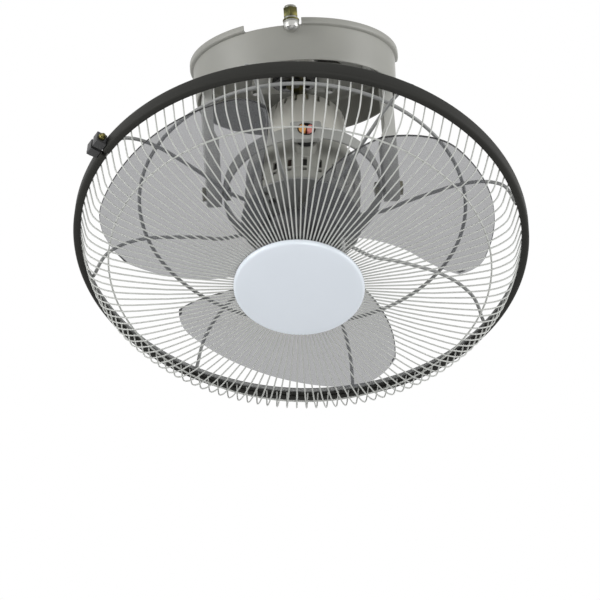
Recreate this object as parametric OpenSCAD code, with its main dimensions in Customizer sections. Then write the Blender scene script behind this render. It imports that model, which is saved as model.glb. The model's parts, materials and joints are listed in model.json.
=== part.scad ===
// Orbital ceiling fan: a wire-caged fan head that nods round in a circle under a drum-shaped canopy.
// Millimetres, +Z up, origin at the centre of the ceiling bracket's top face.
// The head is drawn in its own frame, with the fan's axis along Z and the gimbal's centre at zero,
// and is then tilted into the place where the orbit stands at rest.

/* [Orbit] */
// Angle between the fan's axis and the vertical, all round the orbit
orbit_angle = 28; // [20:0.5:28]
// Direction in which the head's rear end leans at rest, from +X
rest_azimuth = 75; // [0:5:355]

/* [Canopy] */
// Height of the drum's wall
drum_h = 38.5; // [30:0.5:40]
// How much wider the drum is at its top, on the radius
drum_taper = 2; // [0:0.5:4]
// Thickness of the drum's sheet
drum_t = 1.6; // [1.2:0.1:2.5]
// Height of the lip that stands round the drum's top
lip_h = 6.5; // [4:0.5:10]
// How far the lip steps out from the wall
lip_step = 3.5; // [2:0.5:6]
// Angle of each of the lip's three gaps
lip_gap = 32; // [20:1:40]
// Distance from the ceiling down to the top of the drum's wall
drum_drop = 16.5; // [14:0.5:20]

/* [Ceiling bracket] */
// Diameter of the bracket's disc
bracket_d = 136; // [120:1:150]
// Thickness of the bracket's plate
bracket_t = 2.5; // [2:0.1:4]
// Diameter of the circle that the ceiling screws stand on
ceiling_pcd = 100; // [80:1:110]
// Diameter of each ceiling screw hole
ceiling_hole_d = 6.5; // [5:0.1:8]
// Diameter of the supply cable's hole
cable_hole_d = 24; // [16:1:30]
// Shank diameter of the lock bolts
lock_bolt_d = 6; // [5:0.5:8]

/* [Arms] */
// Width of each arm
arm_w = 28; // [22:1:30]
// Depth of the arms' flanges beside the ring
arm_flange = 13; // [8:0.5:14]
// Thickness of the arms' sheet
arm_t = 2.5; // [2:0.1:3]

/* [Gimbal] */
// Width of the ring's strip
ring_w = 18; // [14:1:20]
// Thickness of the ring's strip
ring_t = 2.5; // [2:0.1:3]
// Diameter of the pins that hang the ring
pin_d = 8; // [6:0.5:9]
// Outer diameter of the hollow trunnions that hang the head
trunnion_d = 19; // [16:0.5:20]
// Clearance round every turning pin and shaft, on the radius
running_gap = 0.05; // [0.02:0.01:0.09]

/* [Motor] */
// Outer diameter of the motor
motor_d = 122; // [112:1:148]
// Distance from the gimbal's centre to the front face of the motor
motor_front = 46; // [44:1:50]
// Distance from the gimbal's centre to the rear face of the motor
motor_rear = 31; // [28:1:34]
// Wall of the housings
housing_t = 3; // [2:0.5:4]
// Number of vent slots round the motor
slot_count = 24; // [16:2:30]
// Diameter of the fan shaft
shaft_d = 12; // [10:1:15]
// Diameter of the rear cover where it meets the motor
cover_d = 94; // [88:1:96]
// Distance from the gimbal's centre to the rear cover's end
cover_end = 115.5; // [95:0.5:140]
// Number of notches in the rear cover's crown
notch_count = 22; // [16:2:30]

/* [Fan] */
// Gap between the blades' tips and the outside of the rim band
tip_gap = 21; // [18:1:30]
// Thickness of the blades
blade_t = 2.2; // [1.6:0.1:3]
// Number of blades
blade_count = 3; // [3:1:3]
// Diameter of the blades' hub
hub_d = 92; // [84:1:94]

/* [Guard] */
// Outer diameter of the rim band
rim_d = 470; // [390:1:565]
// Distance from the gimbal's centre to the middle of the rim band
rim_z = 78; // [76:1:84]
// Width of the rim band
rim_w = 17; // [15:0.5:22]
// Depth of the rim band's flanges
rim_depth = 7.5; // [7:0.5:10]
// Number of wires in the front guard
wire_count = 126; // [90:6:132]
// Diameter of the front guard's wires
wire_d = 1.6; // [1.4:0.1:3]
// Number of spokes in the rear guard
spoke_count = 8; // [6:1:12]
// Diameter of the rear guard's wires
spoke_d = 3.8; // [3:0.1:6]
// Diameter of the round cap at the guard's centre
cap_d = 133.5; // [120:0.5:150]
// Distance from the gimbal's centre to the cap's rear edge
cap_z = 144; // [142:1:150]
// Azimuth of the rim's clamp in the head's frame
clamp_azimuth = 210; // [0:5:355]

/* [Orbit drive] */
// Module of the drive's gears
gear_module = 1; // [0.8:0.1:1.2]
// Teeth of the crank's gear
crank_teeth = 48; // [40:4:56]
// Teeth of the motor's pinion
pinion_teeth = 12; // [10:2:16]
// Height of the orbit motor's can
orbit_motor_h = 10.8; // [9:0.1:16]
// Diameter of the crank's ball
ball_d = 10; // [8:1:13]
// How far the crank's ball stays clear of the head's swing, where the drive's loop is opened
socket_gap = 1.4; // [0.5:0.1:3]

/* [Hidden] */
$fn = 96;
e = 0.01;

// The tilt at rest, split between the ring's hinge (along X) and the head's hinge
head_turn = asin(sin(orbit_angle) * cos(rest_azimuth));
ring_turn = -atan2(sin(orbit_angle) * sin(rest_azimuth), cos(orbit_angle));

// Motor
motor_r = motor_d / 2;
slot_w = 4.6;
slot_low = -34;                    // front ends of the vent slots
slot_high = -14.4;                 // rear ends of the vent slots
slot_bar = 2.4;                    // bar that crosses the slots where the housings meet
parting = -28.5;                   // plane where the two housings meet
shaft_r = shaft_d / 2;
shaft_hole_r = shaft_r + running_gap;
bearing_r = shaft_r + 8;
bearing_w = 8;
bearing_front = -motor_front - 6;
bearing_rear = motor_rear - housing_t - bearing_w - 1;
stator_z = -36;
stator_h = 24;
stator_r = motor_r - housing_t - 0.4;
long_screw_r = motor_r - housing_t - 3;
rotor_r = 27;
air_gap = 0.6;
coil_in = 31;
coil_w = 12;
winding_h = 7;

// Rear cover, with the socket in its middle
cover_t = 2.4;
cover_r = cover_d / 2;
crown_r = cover_r - 4;
crown_h = 7.5;
notch_w = 3;
notch_h = 17.5;
socket_r = 9;
socket_end = cover_end + 2.4;
post_r = 6;
post_end = cover_end - 3;

// Gimbal: the ring clears the motor's front edge, and the arms clear the ring and the cover's crown
ring_gap = 5.1;
ring_in = norm([motor_r, motor_front]) + ring_gap;
ring_r = ring_in + ring_t;
pin_r = pin_d / 2;
pin_head_r = 7.5;
pin_head_t = 3.6;
pin_hole_r = pin_r + running_gap;
nut_t = 4.5;
nut_r = 7.5;
nut_seat = sqrt(pow(ring_in, 2) - pow(nut_r, 2));
ring_pin_in = nut_seat - nut_t - 0.6;
pad_w = 32;
pad_low = -15;
pad_high = 12;
pad_face = ring_r + 3;
trunnion_r = trunnion_d / 2;
trunnion_bore = 8;
boss_r = 12;
boss_end = motor_r + 10;
head_bush_r = trunnion_r + 1;
head_bush_flange_r = head_bush_r + 2;
head_bush_seat = sqrt(pow(ring_in, 2) - pow(head_bush_flange_r, 2));
bush_flange_t = 1.2;
lead_r = 3.7;
lead_x = 4.2;
lead_z = 0;

// Arms
arm_gap = 2;
flange_top = 8.5;
crown_corner = [crown_r, cover_end - crown_h];
crown_swing = norm(crown_corner) * sin(atan2(crown_corner[0], crown_corner[1]) + orbit_angle);
crown_swing_z = norm(crown_corner) * cos(atan2(crown_corner[0], crown_corner[1]) + orbit_angle);
arm_x = arm_t + max(norm([ring_r, ring_w / 2]) + arm_gap + arm_flange, crown_swing + 2.4 + flange_top);
flange_taper = [crown_swing_z - 19, crown_swing_z - 9];    // heights between which the flanges get narrower
foot_l = 26;
foot_screw_x = arm_x - arm_t - 12;
foot_screw_y = 7;
bush_r = pin_r + 2.5;
bush_flange_r = bush_r + 3;

// Orbit drive, stacked up from the sphere that the head's rear end swings in
gear_pressure = 20;
gear_t = 4.5;
plate_t = 2;
arm_bar_t = 3;
arm_bar_w = 14;
crank_shaft_r = 4;
motor_can_r = 22;
swing_r = ceil(2 * max(norm([crown_r - 7, cover_end - 3]), norm([socket_r, socket_end])) + 0.4) / 2;
crank_bar_z = swing_r + 0.8;
gear_z = crank_bar_z + arm_bar_t + 0.5;
drive_plate_z = gear_z + gear_t + 0.8;
ball_r = ball_d / 2;
ball_h = swing_r + socket_gap + ball_r;
crank_reach = ball_h * sin(orbit_angle);
gear_distance = gear_module * (crank_teeth + pinion_teeth) / 2;
drive_post_x = 40;
drive_post_y = 34;

// Distance from the ceiling down to the gimbal's centre
pivot_drop = drum_drop + drum_t + 1 + orbit_motor_h + plate_t + drive_plate_z;

// Canopy and bracket levels, from the ceiling
drum_top = -drum_drop;
drum_bottom = drum_top - drum_h;
drum_gap = 2;
drum_in_r = norm([arm_x, arm_w / 2]) + drum_gap;
drum_bottom_r = drum_in_r + drum_t;
drum_top_r = drum_bottom_r + drum_taper;
lip_outer = drum_top_r + lip_step;
bolt_head_r = 7.5;
bolt_head_h = 6;
lock_r = drum_top_r + bolt_head_r + 0.8;    // distance of the lock bolts from the axis
arm_top = drum_top - drum_t;       // underside of the drum's top plate
first_gap = 253.5;                 // middle of the gap that holds the front lock bolt
front_lock = 264;                  // azimuth of the front lock bolt
ear_r = 8;
ear_t = 1.5;
lug_w = 12;
rib_h = 3;
washer_d = 17;
washer_t = 1.6;
spring_washer_t = 2.4;
lock_nut_h = drum_drop - bracket_t - washer_t - spring_washer_t;

// Guard
guard_plate_r = motor_r + 2;
guard_plate_t = 2;
guard_screw_r = long_screw_r - 11;
rim_r = rim_d / 2;
rim_t = 1.5;
outer_ring_r = rim_r - rim_t - 4;
outer_wire_r = 2.1;
wire_r = wire_d / 2;
spoke_r = spoke_d / 2;
weld = 0.15;
hub_plate_r = 63;
hub_plate_z = -cap_z + 2.7;
cap_r = cap_d / 2;
cap_peg_r = 3;
cap_peg_pcr = 45;
spoke_azimuth = 28;
rear_ring_r = rim_r - 64;
middle_ring_wire = 0.9;

// The guard's plate stands deep enough for the spokes to pass the gimbal ring at full tilt
spoke_depth = ring_r * sin(orbit_angle + asin((ring_w / 2 + spoke_r + 2) / ring_r));
guard_plate_front = -max(motor_front + 2 + guard_plate_t, spoke_depth - spoke_r + weld);
spoke_in_z = guard_plate_front - spoke_r + weld;

// Middle line of a rear spoke, as distance from the axis and height over the gimbal's centre
rear_ring_z = -rim_z + 50;
function spoke_way(share) = guard_plate_r + (rear_ring_r - guard_plate_r) * share;
spoke_line = [
    [guard_plate_r - 17, spoke_in_z], [guard_plate_r + 1, spoke_in_z],
    [spoke_way(0.213), spoke_in_z - 0.65], [spoke_way(0.454), -44], [spoke_way(0.731), -36.5],
    [rear_ring_r, rear_ring_z - 2 * spoke_r + weld], [rim_r - 37, -35], [rim_r - 21, -45], [rim_r - 14, -59],
    [outer_ring_r - spoke_r - 3.6, -rim_z + 8], [outer_ring_r - spoke_r - 1.2, -rim_z + 2]];

// Middle line of a front wire, from the rim inwards
wire_line = [
    [outer_ring_r - 2.2, -rim_z - 3.2], [outer_ring_r - 5.5, -rim_z - 6], [rim_r - 11.6, -rim_z - 18],
    [rim_r - 17, -rim_z - 33], [rim_r - 31, -rim_z - 43.5], [rim_r - 70, -rim_z - 54],
    [(rim_r + hub_plate_r) / 2 - 39, -cap_z + 4.6], [hub_plate_r - 6, hub_plate_z + weld - wire_r]];
wire_slope = 15;                   // slope of the front wires where the middle ring lies on them
middle_ring_at = [rim_r - 39.6, -rim_z - 45.8 + (wire_r + middle_ring_wire - weld) / cos(wire_slope)];

// Blades
blade_r = rim_r - tip_gap;         // radius of the sweep of the blades' tips
hub_r = hub_d / 2;
hub_back = -rim_z + 0.5;
hub_front = -rim_z - 22;
clamp_front = -rim_z - 42;
shaft_end = clamp_front - 7;
nut_end = clamp_front - 9;
blade_rows = 9;
blade_cols = 14;

// ---------------------------------------------------------------- frames and shared shapes

// The gimbal's centre
module at_gimbal() { translate([0, 0, -pivot_drop]) children(); }

// The ring's frame at rest
module in_ring() { at_gimbal() rotate([ring_turn, 0, 0]) children(); }

// The head's frame at rest
module in_head() { in_ring() rotate([0, head_turn, 0]) children(); }

module tube(outer, inner, h) {
    difference() {
        cylinder(r = outer, h = h);
        translate([0, 0, -1]) cylinder(r = inner, h = h + 2);
    }
}

// A wire bent to a full circle
module wire_ring(ring_radius, wire_radius) {
    rotate_extrude() translate([ring_radius, 0]) circle(r = wire_radius);
}

// Copies round the axis
module around(count, first = 0) {
    for (i = [0 : count - 1]) rotate([0, 0, first + i * 360 / count]) children();
}

// Copies on +X and -X, turned to face outwards
module on_both_x() { for (a = [0, 180]) rotate([0, 0, a]) rotate([0, 90, 0]) children(); }

// Copies on +Y and -Y, turned to face outwards
module on_both_y() { for (a = [90, 270]) rotate([0, 0, a]) rotate([0, 90, 0]) children(); }

// Rods swept along a line of [radius, height] points, one for each azimuth, as closed shells of triangles
function line_turn(line, i) =
    let (a = line[max(i - 1, 0)], b = line[min(i + 1, len(line) - 1)]) atan2(b[1] - a[1], b[0] - a[0]);
function rod_point(line, i, j, sides, radius, azimuth) =
    let (turn = line_turn(line, i), spin = 360 * j / sides,
         r = line[i][0] - radius * cos(spin) * sin(turn), z = line[i][1] + radius * cos(spin) * cos(turn),
         side = radius * sin(spin))
    [r * cos(azimuth) - side * sin(azimuth), r * sin(azimuth) + side * cos(azimuth), z];
module radial_rods(line, radius, sides, count, first) {
    rows = len(line);
    one = rows * sides;
    points = [for (k = [0 : count - 1], i = [0 : rows - 1], j = [0 : sides - 1])
        rod_point(line, i, j, sides, radius, first + k * 360 / count)];
    skin = [for (k = [0 : count - 1], i = [0 : rows - 2], j = [0 : sides - 1])
        let (a = k * one + i * sides + j, b = k * one + i * sides + (j + 1) % sides)
        each [[a, b, b + sides], [a, b + sides, a + sides]]];
    ends = [for (k = [0 : count - 1], j = [1 : sides - 2])
        let (a = k * one, b = a + one - sides) each [[a, a + j + 1, a + j], [b, b + j, b + j + 1]]];
    polyhedron(points, concat(skin, ends));
}

// ---------------------------------------------------------------- fixed to the ceiling

// Pressed disc with a round rib, screw and cable holes, and the lugs that the lock bolts reach
module ceiling_bracket() {
    color("#b9bab6") {
        translate([0, 0, -bracket_t]) linear_extrude(height = bracket_t) difference() {
            union() {
                circle(d = bracket_d);
                around(3, front_lock) {
                    translate([0, -lug_w / 2]) square([lock_r, lug_w]);
                    translate([lock_r, 0]) circle(d = lug_w);
                }
            }
            around(4, 45) translate([ceiling_pcd / 2, 0]) circle(d = ceiling_hole_d);
            circle(d = cable_hole_d);
            around(3, front_lock) translate([lock_r, 0]) circle(d = lock_bolt_d);
        }
        translate([0, 0, -bracket_t - rib_h]) tube(bracket_d / 2 - 6, bracket_d / 2 - 8, rib_h + e);
    }
}

// Drum drawn as one profile: top plate, tapered wall with a curled bottom edge, and the stepped lip
module drum_profile() {
    polygon([
        [cable_hole_d / 2 + 8, drum_top - drum_t], [drum_top_r - drum_t - 3, drum_top - drum_t],
        [drum_top_r - drum_t - 0.6, drum_top - drum_t - 2.4], [drum_in_r, drum_bottom + 1.2],
        [drum_in_r, drum_bottom], [drum_bottom_r, drum_bottom], [drum_bottom_r + 0.6, drum_bottom + 3],
        [drum_top_r, drum_top - 2.5], [drum_top_r, drum_top], [cable_hole_d / 2 + 8, drum_top]]);
}

module lip_profile() {
    polygon([
        [drum_top_r - 3, drum_top - drum_t], [drum_top_r - 1, drum_top - drum_t], [lip_outer - 1, drum_top - 0.4],
        [lip_outer, drum_top + 0.8], [lip_outer, drum_top + lip_h], [lip_outer - drum_t, drum_top + lip_h],
        [lip_outer - drum_t, drum_top + 1.6], [drum_top_r - 3, drum_top]]);
}

module canopy_drum() {
    color("#a9aaa3") difference() {
        union() {
            rotate_extrude() drum_profile();
            for (k = [0 : 2]) rotate([0, 0, first_gap + lip_gap / 2 + k * 120])
                rotate_extrude(angle = 120 - lip_gap) lip_profile();
            around(3, front_lock) translate([0, 0, drum_top - ear_t]) {
                translate([lock_r, 0, 0]) cylinder(r = ear_r, h = ear_t);
                translate([drum_top_r - 6, -ear_r, 0]) cube([lock_r - drum_top_r + 6, 2 * ear_r, ear_t]);
            }
        }
        around(3, front_lock) translate([lock_r, 0, drum_top - 10])
            cylinder(d = lock_bolt_d + 0.6, h = 20);
        for (x = [-1, 1], y = [-1, 1]) translate([x * foot_screw_x, y * foot_screw_y, drum_top - 10])
            cylinder(r = 2.1, h = 20);
        for (x = [-1, 1], y = [-1, 1]) translate([x * drive_post_x, y * drive_post_y, drum_top - 10])
            cylinder(r = 2.1, h = 20);
    }
}

// Bolts that come up through the drum's ears into the bracket's lugs, with domed heads below
module lock_bolts() {
    color("#c8c8c4") around(3, front_lock) translate([lock_r, 0, 0]) {
        translate([0, 0, drum_top - ear_t - bolt_head_h]) {
            cylinder(r = bolt_head_r, h = bolt_head_h);
            intersection() {
                translate([0, 0, 4.5]) sphere(r = bolt_head_r + 1);
                translate([0, 0, -5]) cylinder(r = bolt_head_r - 0.2, h = 6);
            }
        }
        translate([0, 0, drum_top - ear_t - 1]) cylinder(r = lock_bolt_d / 2, h = drum_drop + ear_t - 0.5);
    }
}

// A collar with a bolt hole, for one lock bolt
module lock_collar(d, z, h, sides) {
    translate([lock_r, 0, drum_top + z]) difference() {
        cylinder(d = d, h = h, $fn = sides);
        translate([0, 0, -1]) cylinder(r = lock_bolt_d / 2 + 0.1, h = h + 2);
    }
}

// Plain washers on the drum's ears
module lock_washers() { color("#b8a25a") around(3, front_lock) lock_collar(washer_d, 0, washer_t, $fn); }

// Spring washers between the plain washers and the nuts
module lock_springs() {
    color("#8f8c80") around(3, front_lock) lock_collar(washer_d - 3, washer_t, spring_washer_t, $fn);
}

// Tall nuts that stand against the bracket's lugs
module lock_nuts() {
    color("#b8a25a") around(3, front_lock)
        lock_collar(washer_d - 1, washer_t + spring_washer_t, lock_nut_h, 6);
}

// Strip with one round end, seen along X
module arm_outline(half_w, length) {
    circle(r = half_w);
    translate([-length, -half_w]) square([length, 2 * half_w]);
}

// The channel seen along Y: its flanges are narrow beside the rear cover's swing
module flange_outline(height) {
    polygon([
        [arm_x, -arm_w], [arm_x, height], [arm_x - arm_t - flange_top, height],
        [arm_x - arm_t - flange_top, flange_taper[1]], [arm_x - arm_t - arm_flange, flange_taper[0]],
        [arm_x - arm_t - arm_flange, -arm_w]]);
}

// Channel arm with a rounded lower end and a foot turned in under the drum's top
module arm() {
    height = arm_top + pivot_drop;
    color("#a3a49e") difference() {
        union() {
            difference() {
                intersection() {
                    rotate([0, 90, 0]) linear_extrude(height = arm_x) arm_outline(arm_w / 2, height);
                    rotate([90, 0, 0]) translate([0, 0, -arm_w]) linear_extrude(height = 2 * arm_w)
                        flange_outline(height);
                }
                rotate([0, 90, 0]) linear_extrude(height = arm_x - arm_t)
                    arm_outline(arm_w / 2 - arm_t, height + 1);
            }
            translate([arm_x - arm_t - foot_l, -arm_w / 2, height - arm_t]) cube([foot_l + e, arm_w, arm_t]);
        }
        rotate([0, 90, 0]) cylinder(r = bush_r, h = 2 * arm_x);
        for (y = [-1, 1]) translate([foot_screw_x, y * foot_screw_y, height - 10]) cylinder(r = 2.05, h = 20);
    }
}

module right_arm() { at_gimbal() arm(); }

module left_arm() { at_gimbal() rotate([0, 0, 180]) arm(); }

// Screws that hold the arms' feet to the drum, with their heads below
module arm_screws() {
    color("#c2c3c0") for (x = [-1, 1], y = [-1, 1])
        translate([x * foot_screw_x, y * foot_screw_y, arm_top - arm_t]) {
            translate([0, 0, -2.6]) cylinder(r = 3.6, h = 2.6);
            translate([0, 0, -1]) cylinder(r = 2, h = 8);
        }
}

// Flanged nylon bushes that the ring's pins turn in
module arm_bushes() {
    color("#e8e6dc") at_gimbal() on_both_x() difference() {
        union() {
            translate([0, 0, arm_x - arm_t - bush_flange_t]) cylinder(r = bush_flange_r, h = bush_flange_t);
            translate([0, 0, arm_x - arm_t - e]) cylinder(r = bush_r, h = arm_t + 0.3);
        }
        cylinder(r = pin_hole_r, h = 2 * arm_x);
    }
}

// Plate that carries the crank's bearing and the orbit motor
module drive_plate() {
    color("#8f918c") at_gimbal() translate([0, 0, drive_plate_z]) difference() {
        linear_extrude(height = plate_t) union() {
            square([2 * drive_post_x + 12, 2 * drive_post_y], center = true);
            square([2 * drive_post_x, 2 * drive_post_y + 12], center = true);
            for (x = [-1, 1], y = [-1, 1]) translate([x * drive_post_x, y * drive_post_y]) circle(r = 6);
        }
        translate([0, 0, -1]) cylinder(r = crank_shaft_r + running_gap, h = 5);
        translate([0, -gear_distance, -1]) cylinder(r = 3, h = 5);
        for (x = [-1, 1], y = [-1, 1])
            translate([x * drive_post_x, y * drive_post_y, -1]) cylinder(r = 2.05, h = 5);
    }
}

module drive_posts() {
    post_h = pivot_drop + arm_top - drive_plate_z - plate_t;
    color("#c2c3c0") at_gimbal() for (x = [-1, 1], y = [-1, 1])
        translate([x * drive_post_x, y * drive_post_y, drive_plate_z]) {
            translate([0, 0, plate_t]) cylinder(r = 4, h = post_h);
            translate([0, 0, -2]) cylinder(r = 2, h = plate_t + 2 + post_h + drum_t + 2);
            translate([0, 0, -2.2]) cylinder(r = 3.6, h = 2.2);
        }
}

// Round can that stands on the drive plate
module orbit_motor() {
    can_z = drive_plate_z + plate_t;
    color("#c9c9c4") at_gimbal() translate([0, -gear_distance, can_z]) difference() {
        cylinder(r = motor_can_r, h = pivot_drop + arm_top - can_z - 1);
        translate([0, 0, -1]) cylinder(r = 2.5, h = 7);
    }
}

// Three-way terminal block under the bracket
module terminal_block() {
    color("#ece8d8") translate([-18, 18, -bracket_t - 9]) difference() {
        cube([36, 16, 9]);
        for (i = [0 : 2]) translate([7 + 11 * i, -1, 4.5]) rotate([-90, 0, 0]) cylinder(r = 2.2, h = 6);
    }
}

// ---------------------------------------------------------------- orbit drive

// Outline of a spur gear, its teeth as trapezoids on the pitch circle
module gear_outline(teeth, thin) {
    pitch_r = gear_module * teeth / 2;
    step = 360 / teeth;
    root = pitch_r - 1.2 * gear_module;
    tip = pitch_r + 0.9 * gear_module;
    lean = gear_module * tan(gear_pressure) / pitch_r * 180 / PI;
    half = step / 4 - thin;
    polygon([for (i = [0 : teeth - 1], p = [
            [root, -half - lean * 1.2], [tip, -half + lean * 0.9],
            [tip, half - lean * 0.9], [root, half + lean * 1.2]])
        [p[0] * cos(i * step + p[1]), p[0] * sin(i * step + p[1])]]);
}

module crank_gear() {
    color("#1e1f21") at_gimbal() translate([0, 0, gear_z]) difference() {
        linear_extrude(height = gear_t) gear_outline(crank_teeth, 0.35);
        translate([0, 0, -1]) cylinder(r = crank_shaft_r, h = gear_t + 2);
        around(6, 30) translate([14, 0, -1]) cylinder(r = 4, h = gear_t + 2);
    }
}

// The pinion's teeth stand in the spaces of the crank's gear
module drive_pinion() {
    turn = 270 * crank_teeth / 360;
    color("#5a5c5a") at_gimbal() translate([0, -gear_distance, gear_z]) {
        rotate([0, 0, 90 + 180 / pinion_teeth + (turn - round(turn)) * 360 / pinion_teeth])
            linear_extrude(height = gear_t) gear_outline(pinion_teeth, 1.4);
        translate([0, 0, gear_t - e]) cylinder(r = 2.3, h = drive_plate_z + plate_t + 5 - gear_z - gear_t);
    }
}

module crank_shaft() {
    color("#c8c8c4") at_gimbal() translate([0, 0, crank_bar_z])
        cylinder(r = crank_shaft_r, h = drive_plate_z + plate_t + 4 - crank_bar_z);
}

// Flat bar from the gear's shaft out to the ball
module crank_arm() {
    color("#b8a25a") at_gimbal() rotate([0, 0, rest_azimuth]) translate([0, 0, crank_bar_z]) difference() {
        linear_extrude(height = arm_bar_t) union() {
            circle(d = arm_bar_w + 6);
            translate([0, -arm_bar_w / 2]) square([crank_reach, arm_bar_w]);
            translate([crank_reach, 0]) circle(d = arm_bar_w);
        }
        translate([0, 0, -1]) cylinder(r = crank_shaft_r, h = arm_bar_t + 2);
        translate([crank_reach, 0, -1]) cylinder(r = 3, h = arm_bar_t + 2);
    }
}

// Ball stud that leads the head round
module crank_ball() {
    ball_z = ball_h * cos(orbit_angle);
    color("#c8c8c4") at_gimbal() rotate([0, 0, rest_azimuth]) translate([crank_reach, 0, 0]) {
        translate([0, 0, ball_z]) sphere(r = ball_r);
        translate([0, 0, ball_z]) cylinder(r = 3, h = crank_bar_z + arm_bar_t - ball_z);
    }
}

// ---------------------------------------------------------------- gimbal

module gimbal_ring() {
    color("#8b8d89") in_ring() difference() {
        union() {
            rotate_extrude() polygon([
                [ring_in, -ring_w / 2 + 0.6], [ring_in + 0.6, -ring_w / 2],
                [ring_r - 0.6, -ring_w / 2], [ring_r, -ring_w / 2 + 0.6],
                [ring_r, ring_w / 2 - 0.6], [ring_r - 0.6, ring_w / 2],
                [ring_in + 0.6, ring_w / 2], [ring_in, ring_w / 2 - 0.6]]);
            for (a = [0, 180]) rotate([0, 0, a]) pivot_pad();
        }
        on_both_x() translate([0, 0, ring_r / 2]) cylinder(r = pin_r, h = ring_r);
        on_both_y() translate([0, 0, ring_r / 2]) cylinder(r = head_bush_r, h = ring_r);
    }
}

// Flat pad outside the ring, round a trunnion's bush
module pivot_pad() {
    middle = (pad_low + pad_high) / 2;
    half_h = (pad_high - pad_low) / 2;
    rotate([90, 0, 0]) translate([0, middle, ring_in + 0.5]) linear_extrude(height = pad_face - ring_in - 0.5)
        polygon([
            [-pad_w / 2, -half_h + 4], [-pad_w / 2 + 4, -half_h], [pad_w / 2 - 4, -half_h], [pad_w / 2, -half_h + 4],
            [pad_w / 2, half_h - 2], [pad_w / 2 - 2, half_h], [-pad_w / 2 + 2, half_h], [-pad_w / 2, half_h - 2]]);
}

// Shoulder screws that hang the ring from the arms
module ring_pivot_pins() {
    color("#b9a869") in_ring() on_both_x() {
        translate([0, 0, arm_x + 0.6]) cylinder(r = pin_head_r, h = pin_head_t);
        translate([0, 0, ring_pin_in]) cylinder(r = pin_r, h = arm_x + 1 - ring_pin_in);
    }
}

module ring_pivot_nuts() {
    color("#b9a869") in_ring() on_both_x() translate([0, 0, nut_seat - nut_t]) difference() {
        cylinder(r = nut_r, h = nut_t, $fn = 6);
        translate([0, 0, -1]) cylinder(r = pin_r, h = nut_t + 2);
    }
}

// Flanged nylon bushes that the trunnions turn in
module head_bushes() {
    color("#e8e6dc") in_ring() on_both_y() difference() {
        union() {
            translate([0, 0, head_bush_seat - bush_flange_t]) cylinder(r = head_bush_flange_r, h = bush_flange_t);
            translate([0, 0, head_bush_seat - e]) cylinder(r = head_bush_r, h = pad_face - head_bush_seat);
        }
        cylinder(r = trunnion_r + running_gap, h = 2 * ring_r);
    }
}

// ---------------------------------------------------------------- motor

// A vent slot through a wall of the motor, between two heights
module vent_slot(low, high) {
    translate([motor_r - 8, -slot_w / 2, low]) cube([20, slot_w, high - low]);
}

// Rear shell: wall, rear face, the rear bearing's boss, and the trunnions' bosses
module motor_rear_housing() {
    in_r = motor_r - housing_t;
    in_z = motor_rear - housing_t;
    color("#9b9c97") in_head() difference() {
        union() {
            rotate_extrude() polygon([
                [0, in_z], [motor_r - 10, in_z], [in_r - 1.5, in_z - 3], [in_r, in_z - 7], [in_r, parting],
                [motor_r - 0.6, parting], [motor_r, parting + 0.6], [motor_r, motor_rear - 7],
                [motor_r - 2, motor_rear - 2], [motor_r - 9, motor_rear], [0, motor_rear]]);
            translate([0, 0, bearing_rear - 2]) cylinder(r = bearing_r + 3, h = motor_rear - bearing_rear);
            on_both_y() translate([0, 0, motor_r - 1.5]) cylinder(r = boss_r, h = boss_end - motor_r + 1.5);
            around(4, 45) translate([long_screw_r, 0, stator_z + stator_h + 1]) cylinder(r = 4.5, h = 14);
        }
        translate([0, 0, bearing_rear - 10]) cylinder(r = bearing_r, h = bearing_w + 10);
        on_both_y() translate([0, 0, motor_r - 12]) cylinder(r = trunnion_r, h = 40);
        around(slot_count) vent_slot(parting + slot_bar / 2, slot_high);
        around(4, 45) translate([long_screw_r, 0, stator_z + stator_h]) cylinder(r = 1.55, h = 11);
    }
}

// Front shell: wall with the vent slots' front ends, front face, and the front bearing's boss
module motor_front_housing() {
    in_r = motor_r - housing_t;
    color("#8d8e8a") in_head() difference() {
        union() {
            rotate_extrude() polygon([
                [bearing_r + 1, -motor_front], [motor_r - 3, -motor_front], [motor_r, -motor_front + 3],
                [motor_r, parting - 0.6], [motor_r - 0.6, parting], [in_r, parting],
                [in_r, -motor_front + housing_t], [bearing_r + 1, -motor_front + housing_t]]);
            translate([0, 0, bearing_front - 2]) tube(bearing_r + 3, shaft_r + 3, -motor_front - bearing_front + 6);
        }
        translate([0, 0, bearing_front]) cylinder(r = bearing_r, h = bearing_w + 20);
        around(slot_count) vent_slot(slot_low, parting - slot_bar / 2);
        around(4, 45) translate([guard_screw_r, 0, -motor_front - 1]) cylinder(r = 2, h = 10);
        around(4, 45) translate([long_screw_r, 0, -motor_front - 1]) cylinder(r = 1.8, h = 40);
    }
}

// Long screws that draw the two housings together
module housing_screws() {
    color("#c2c3c0") in_head() around(4, 45) translate([long_screw_r, 0, -motor_front]) {
        translate([0, 0, -1.6]) cylinder(r = 3, h = 1.6);
        translate([0, 0, -1]) cylinder(r = 1.55, h = motor_front + stator_z + stator_h + 10);
    }
}

// Laminated core with slots for the windings
module stator() {
    color("#6f6a66") in_head() translate([0, 0, stator_z]) difference() {
        cylinder(r = stator_r, h = stator_h);
        translate([0, 0, -1]) cylinder(r = rotor_r + air_gap, h = stator_h + 2);
        around(16) translate([36, 0, -1]) cylinder(r = 4.5, h = stator_h + 2);
        around(4, 45) translate([long_screw_r, 0, -1]) cylinder(r = 2, h = stator_h + 2);
    }
}

// The coils' ends, above and below the core
module stator_windings() {
    color("#a5592c") in_head() for (z = [stator_z - winding_h, stator_z + stator_h])
        translate([0, 0, z]) rotate_extrude() translate([coil_in, 0.3]) square([coil_w, winding_h - 0.6]);
}

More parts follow.
